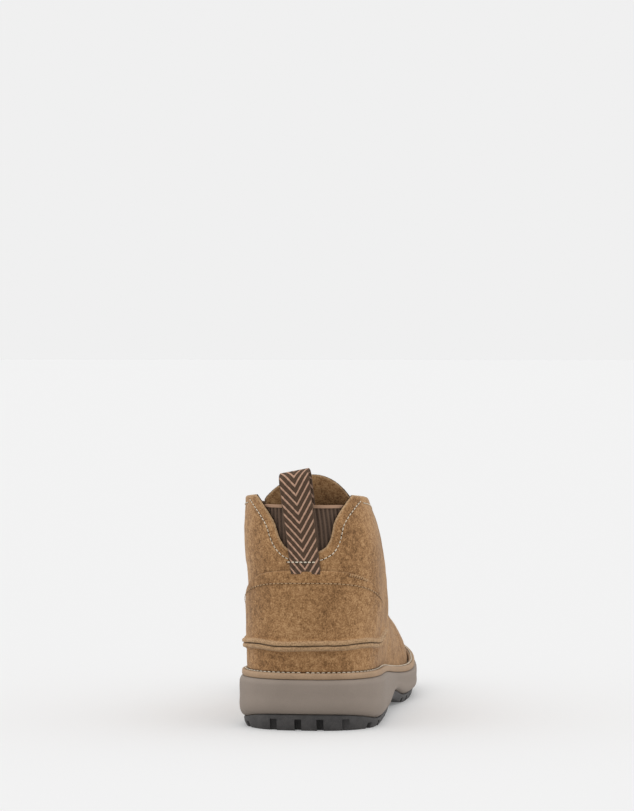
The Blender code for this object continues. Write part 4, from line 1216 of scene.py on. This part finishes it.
def tubeAlong(path, radius, sides):
    # round section carried along a path, its frame turned as little as the path allows
    ahead = np.gradient(path, axis=0)
    ahead = unit(ahead)
    up = np.cross(ahead[0], (0.3, 0.2, 1))
    ups = []
    for way in ahead:
        up = up - way * (up @ way)
        up = unit(up)
        ups.append(up)
    ups = np.array(ups)
    wide = np.cross(ahead, ups)
    turn = np.linspace(0, 2 * np.pi, sides, endpoint=False)
    ends = np.minimum(np.arange(len(path)), np.arange(len(path))[::-1])
    size = radius * roundEnd(np.clip(ends / 3, 0.02, 1), 2)
    section = np.cos(turn)[None, :, None] * ups[:, None] + np.sin(turn)[None, :, None] * wide[:, None]
    rows = path[:, None] + size[:, None, None] * section
    return rows, np.tile(turn, len(path))


# Lace: a bar over the lowest pair, a hidden crossing, then a crossing on top into the highest pair
laceShape = {"radius": 0.0015, "sides": 14, "steps": 230, "crossingLifts": (0.0011, -0.0006)}
# Eyelet pair, share of the way to the next pair, pair whose distance across counts, share of it, height
laceRoute = (
    (0, 0.00, 0, 0.00, 0.0042),
    (0, 0.00, 0, 0.50, 0.0042),
    (0, 0.00, 0, 0.93, 0.0042),
    (0, 0.00, 0, 1.00, 0.0028),
    (0, 0.00, 0, 1.00, -0.0020),
    (0, 0.08, 0, 0.86, -0.0046),
    (0, 0.30, 0, 0.40, -0.0032),
    (0, 0.50, 0, 0.00, -0.0022),
    (0, 0.70, 1, -0.40, -0.0032),
    (0, 0.92, 1, -0.86, -0.0046),
    (1, 0.00, 1, -1.00, -0.0020),
    (1, 0.00, 1, -1.00, 0.0028),
    (1, 0.10, 1, -0.88, 0.0044),
    (1, 0.50, 1, 0.00, 0.0044),
    (1, 0.90, 2, 0.88, 0.0042),
    (2, 0.00, 2, 1.00, 0.0028),
    (2, 0.00, 2, 1.00, -0.0020),
    (2, 0.00, 2, 1.00, -0.0045),
)
pairRings = eyeShape["rings"] + eyeShape["rings"][-1:]
edgeAt = [float(throatHalf(ridge(ring)[0]) + eyeShape["edge"]) for ring in eyeShape["rings"]]
parts, faces, marks, count = [], [], {"across": [], "along": []}, 0
for side, lift in zip((1, -1), laceShape["crossingLifts"]):
    spots = []
    for pair, share, edge, reach, height in laceRoute:
        ring = mix(pairRings[pair], pairRings[pair + 1], share)
        point, out = surfaceSpot(ring, side * edgeAt[edge] * reach)
        spots.append(point + out * (height + (lift if share == 0.5 else 0)))
    path, length = curveThrough(spots, laceShape["steps"])
    rows, around = tubeAlong(path, laceShape["radius"], laceShape["sides"])
    parts.append(rows.reshape(-1, 3))
    faces += gridFaces(len(rows), rows.shape[1], count, closed=True)
    for first in (count, count + len(parts[-1]) - laceShape["sides"]):
        faces.append(list(range(first, first + laceShape["sides"])))
    count += len(parts[-1])
    marks["across"].append(around)
    marks["along"].append(np.repeat(np.linspace(0, length, len(rows)), rows.shape[1]))
outward(makePiece("laceCord", np.concatenate(parts), faces, [cord], "lace_cord", ["lace"],
                  {key: np.concatenate(value) for key, value in marks.items()}))
print("tongue, eyestays and lace made")


# Stitches: short rounded bars that dip into the hide, a disc of painted shade standing for the hole at each
# end
# Pitch, length and thickness of the stitches of each kind
stitchShape = {
    "collar": (0.0026, 0.0021, 0.00062),
    "panel": (0.0026, 0.0019, 0.00055),
    "tack": (0.0016, 0.0021, 0.0005),
    "loop": (0.0024, 0.0020, 0.0008),
    "welt": (0.0030, 0.0023, 0.0008),
    "eyestay": (0.0026, 0.0020, 0.0006),
}
sewnAt = {"notchInset": 0.0052, "collarDrop": 0.0042, "collarStart": 0.13, "panelShare": 0.83,
          "tackShare": 0.965,
          "tackFrom": 0.38, "tackTo": 0.64, "tackTilt": 1.15, "loopDrop": 0.0050, "loopHalf": 0.0097,
          "weltInset": 0.00215, "weltRise": 0.0035, "stayInset": 0.0022}


def stitchRow(path, out, kind, tilt=0.0):
    pitch, reach, thick = stitchShape[kind]
    length = runLength(path)
    at = np.arange(pitch / 2, length[-1], pitch)
    centre = readAlong(path, length, at)
    ahead = readAlong(path, length, at + 0.0004) - centre
    away = readAlong(out, length, at)
    away = unit(away)
    ahead = ahead - away * (ahead * away).sum(1, keepdims=True)
    ahead = ahead / np.maximum(np.linalg.norm(ahead, axis=1, keepdims=True), 1e-9)
    wide = np.cross(away, ahead)
    way = ahead * math.cos(tilt) + wide * math.sin(tilt)
    wide = np.cross(away, way)
    keep = np.arange(len(at)) < len(at) - 1
    centre, way, wide, away = centre[keep], way[keep], wide[keep], away[keep]
    u = np.linspace(-1, 1, 7)
    turn = np.linspace(0, 2 * np.pi, 6, endpoint=False)
    size = thick / 2 * np.sqrt(np.clip(1 - u**4, 0.02, 1))
    a = (u * reach / 2)[:, None] + 0 * turn
    b = size[:, None] * np.cos(turn)
    c = size[:, None] * np.sin(turn) * 0.8 + (thick * 0.28 * (1 - 1.6 * u**4))[:, None]
    rows = centre[:, None, None] + way[:, None, None] * a[None, :, :, None]
    rows = rows + wide[:, None, None] * b[None, :, :, None]
    rows = rows + away[:, None, None] * c[None, :, :, None]
    disc = np.array([(math.cos(t), math.sin(t)) for t in turn]) * thick * 0.62
    # dark discs laid over the stitch holes: painted shade
    holes = centre - way * pitch / 2
    holes = holes[:, None] + way[:, None] * disc[None, :, :1] + wide[:, None] * disc[None, :, 1:]
    holes = holes + away[:, None] * 0.00012
    return rows, holes


def sewn(name, rowsAndHoles, slot="suede", cotton=thread):
    # one mesh of all the bars and the painted-shade hole discs of some rows
    points, faces, finishOf, count = [], [], [], 0
    for rows, holes in rowsAndHoles:
        number, steps, around = rows.shape[:3]
        ends = [list(range(around))[::-1], list(range((steps - 1) * around, steps * around))]
        one = gridFaces(steps, around, closed=True) + ends
        for i in range(number):
            faces += [[count + corner for corner in face] for face in one]
            finishOf += [0] * len(one)
            count += steps * around
        points.append(rows.reshape(-1, 3))
        for i in range(len(holes)):
            faces.append([count + corner for corner in range(6)])
            finishOf.append(1)
            count += 6
        points.append(holes.reshape(-1, 3))
    return makePiece(name, np.concatenate(points), faces, [cotton, paintedHoleShade], slot, finishOf=finishOf,
                     merge=1e-9)


def heelRow(x, z, lift):
    # path on the heel with its way out, raised by the thickness of what it is sewn through
    path = heelPoint(x, z)
    along = np.gradient(path, axis=0)
    out = np.cross(along, heelPoint(x, z + 0.0008) - path)
    out = unit(out)
    out = out * np.where((out[:, 1:2]) > 0, -1, 1)
    return path + out * lift, out


def notchOutline(inset, top):
    # outline of the notch moved outwards in its own plane, cut off below the collar
    climb = np.linspace(0, 1, 200)[1:] ** 2 * (notchShape["depth"] + 0.006)
    z = last["collarHeight"] - notchShape["depth"] + climb
    x = notchHalf(z)
    x = np.concatenate([-x[::-1], x])
    z = np.concatenate([z[::-1], z])
    line = np.stack([x, z], axis=-1)
    ahead = np.gradient(line, axis=0)
    out = np.stack([ahead[:, 1], -ahead[:, 0]], axis=-1)
    out = unit(out)
    line = line + out * inset
    line = line[line[:, 1] < top]
    return line[:, 0] + notchLean(line[:, 1]), line[:, 1]


x, z = notchOutline(sewnAt["notchInset"], last["collarHeight"] - sewnAt["collarDrop"])
path, out = heelRow(x, z, 0.0)
rows = [stitchRow(path, out, "collar")]
for side in (1, -1):
    start = float(upperSpan(np.array([0.96]), side)[0][0])
    along = np.linspace(start + sewnAt["collarStart"], 0.985, 300)
    path = surfacePoint(along, 0.966, side)
    rise = surfacePoint(along, 0.972, side) - path
    out = unit(np.cross(np.gradient(path, axis=0), rise) * side)
    out = out * np.sign((out[:, 0] * side).sum())
    rows.append(stitchRow(path, out, "collar"))
sewn("collarThread", rows)

turn = np.linspace(-0.97, 0.97, 500)


def panelPath(share, rise=0.0):
    # line across the heel panel at a share of its height
    reach = mix(panelShape["reach"], panelShape["topReach"], share)
    return heelGrid(turn, reach, mix(seamShape["height"], panelTop(turn), share) + rise)


path = panelPath(sewnAt["panelShare"])
out = unit(np.cross(np.gradient(path, axis=0), panelPath(sewnAt["panelShare"], 0.001) - path))
out = out * (-1 if out[len(out) // 2, 1] > 0 else 1)
lift = panelShape["thickness"] + curvedFit
rows = [stitchRow(path + out * (lift - 0.0001), out, "panel")]
tacks = (turn > sewnAt["tackFrom"]) & (turn < sewnAt["tackTo"])
path = panelPath(sewnAt["tackShare"])[tacks] + out[tacks] * (lift + 0.0001)
rows.append(stitchRow(path, out[tacks], "tack", sewnAt["tackTilt"]))
sewn("panelThread", rows, cotton=tanThread)

x = np.linspace(-1, 1, 80) * sewnAt["loopHalf"] - math.tan(loopShape["lean"]) * 0.0048
z = np.full(80, last["collarHeight"] - notchShape["depth"] - sewnAt["loopDrop"])
path, out = heelRow(x, z, loopShape["thickness"] + 0.0003)
sewn("loopThread", [stitchRow(path, out, "loop")], "loop_webbing")

ring = soleRing(tuck + sewnAt["weltInset"], lambda y: featherLine(y) + sewnAt["weltRise"], 300)
ring = refine(np.concatenate([ring, ring[:1]]), 0.0005)
sewn("weltThread", [stitchRow(ring, np.tile((0, 0, 1.0), (len(ring), 1)), "welt")], "welt_leather")

rows = []
for side in (1, -1):
    line = np.linspace(0.70, 0.985, 160)
    for inset in (sewnAt["stayInset"], eyeShape["width"] * stayWidth(line) - sewnAt["stayInset"]):
        path, out = surfaceSpot(line, side * (stayEdge(line) + inset))
        rows.append(stitchRow(path + out * (eyeShape["thickness"] + 0.0001), out, "eyestay"))
sewn("eyestayThread", rows)
print("stitches made")

# Camera at the photograph's angle
cameraLook = {"place": (0.2491219, -2.12033184, 0.22640643), "back": (0.11842034, -0.99275938, 0.02013554),
              "lens": 154.4}
camera = bpy.data.objects.new("camera", bpy.data.cameras.new("camera"))
camera.data.lens = cameraLook["lens"]
camera.data.sensor_width = 36
camera.data.clip_end = 100
back = Vector(cameraLook["back"]).normalized()
right = Vector((0, 0, 1)).cross(back).normalized()
lift = back.cross(right)
aim = Matrix((right, lift, back)).transposed().to_4x4()
camera.matrix_world = Matrix.Translation(cameraLook["place"]) @ aim
bpy.context.scene.collection.objects.link(camera)
bpy.context.scene.camera = camera

# Pale floor, an even sky that lights it to the same tone, and soft lights on the shoe alone
stageLook = {"tone": 0.871, "skyTop": 1.10, "skySide": 0.62, "floorSize": 60.0, "floorTone": 0.80,
             "floorGlow": 0.14}
floorMesh = bpy.data.meshes.new("floor")
reach = stageLook["floorSize"] / 2
corners = [(-reach, -reach, 0), (reach, -reach, 0), (reach, reach, 0), (-reach, reach, 0)]
floorMesh.from_pydata(corners, [], [(0, 1, 2, 3)])
floor = bpy.data.objects.new("floor", floorMesh)
paper, tree, shader = finish("paper", 1.0, 0.0)
shader.inputs["Base Color"].default_value = (*[stageLook["floorTone"]] * 3, 1)
shader.inputs["Emission Color"].default_value = (1, 1, 1, 1)
shader.inputs["Emission Strength"].default_value = stageLook["floorGlow"]
floorMesh.materials.append(paper)
bpy.context.scene.collection.objects.link(floor)
world = bpy.data.worlds.new("studio")
bpy.context.scene.world = world
world.use_nodes = True
tree = world.node_tree
backdrop = tree.nodes["Background"]
direction = addNode(tree, "ShaderNodeTexCoord").outputs["Generated"]
rise = addNode(tree, "ShaderNodeSeparateXYZ", Vector=direction).outputs["Z"]
glow = remap(tree, rise, 0.0, 1.0, stageLook["skySide"], stageLook["skyTop"])
seen = addNode(tree, "ShaderNodeLightPath").outputs["Is Camera Ray"]
level = addNode(tree, "ShaderNodeMix", {"data_type": "FLOAT"})
tree.links.new(seen, level.inputs[0])
tree.links.new(glow, level.inputs[2])
level.inputs[3].default_value = stageLook["tone"]
tree.links.new(level.outputs[0], backdrop.inputs["Strength"])
backdrop.inputs["Color"].default_value = (1, 1, 1, 1)

lit = bpy.data.collections.new("lit")
for thing in bpy.data.objects:
    if thing.type == "MESH" and thing is not floor:
        lit.objects.link(thing)
lamps = {
    "topSoft": {"place": (-0.5, -0.9, 1.5), "size": 1.0, "power": 9.0},
    "leftEdge": {"place": (-1.1, 0.1, 0.5), "size": 0.8, "power": 3.0},
    "rightEdge": {"place": (1.2, 0.0, 0.5), "size": 0.8, "power": 5.0},
}
for name, look in lamps.items():
    lamp = bpy.data.objects.new(name, bpy.data.lights.new(name, "AREA"))
    lamp.data.size = look["size"]
    lamp.data.energy = look["power"]
    lamp.location = look["place"]
    lamp.rotation_euler = (Vector((0, -0.05, 0.07)) - lamp.location).to_track_quat("-Z", "Y").to_euler()
    lamp.light_linking.receiver_collection = lit
    bpy.context.scene.collection.objects.link(lamp)
bpy.context.scene.view_settings.view_transform = "Standard"
bpy.context.scene.view_settings.look = "None"
print("stage lit")
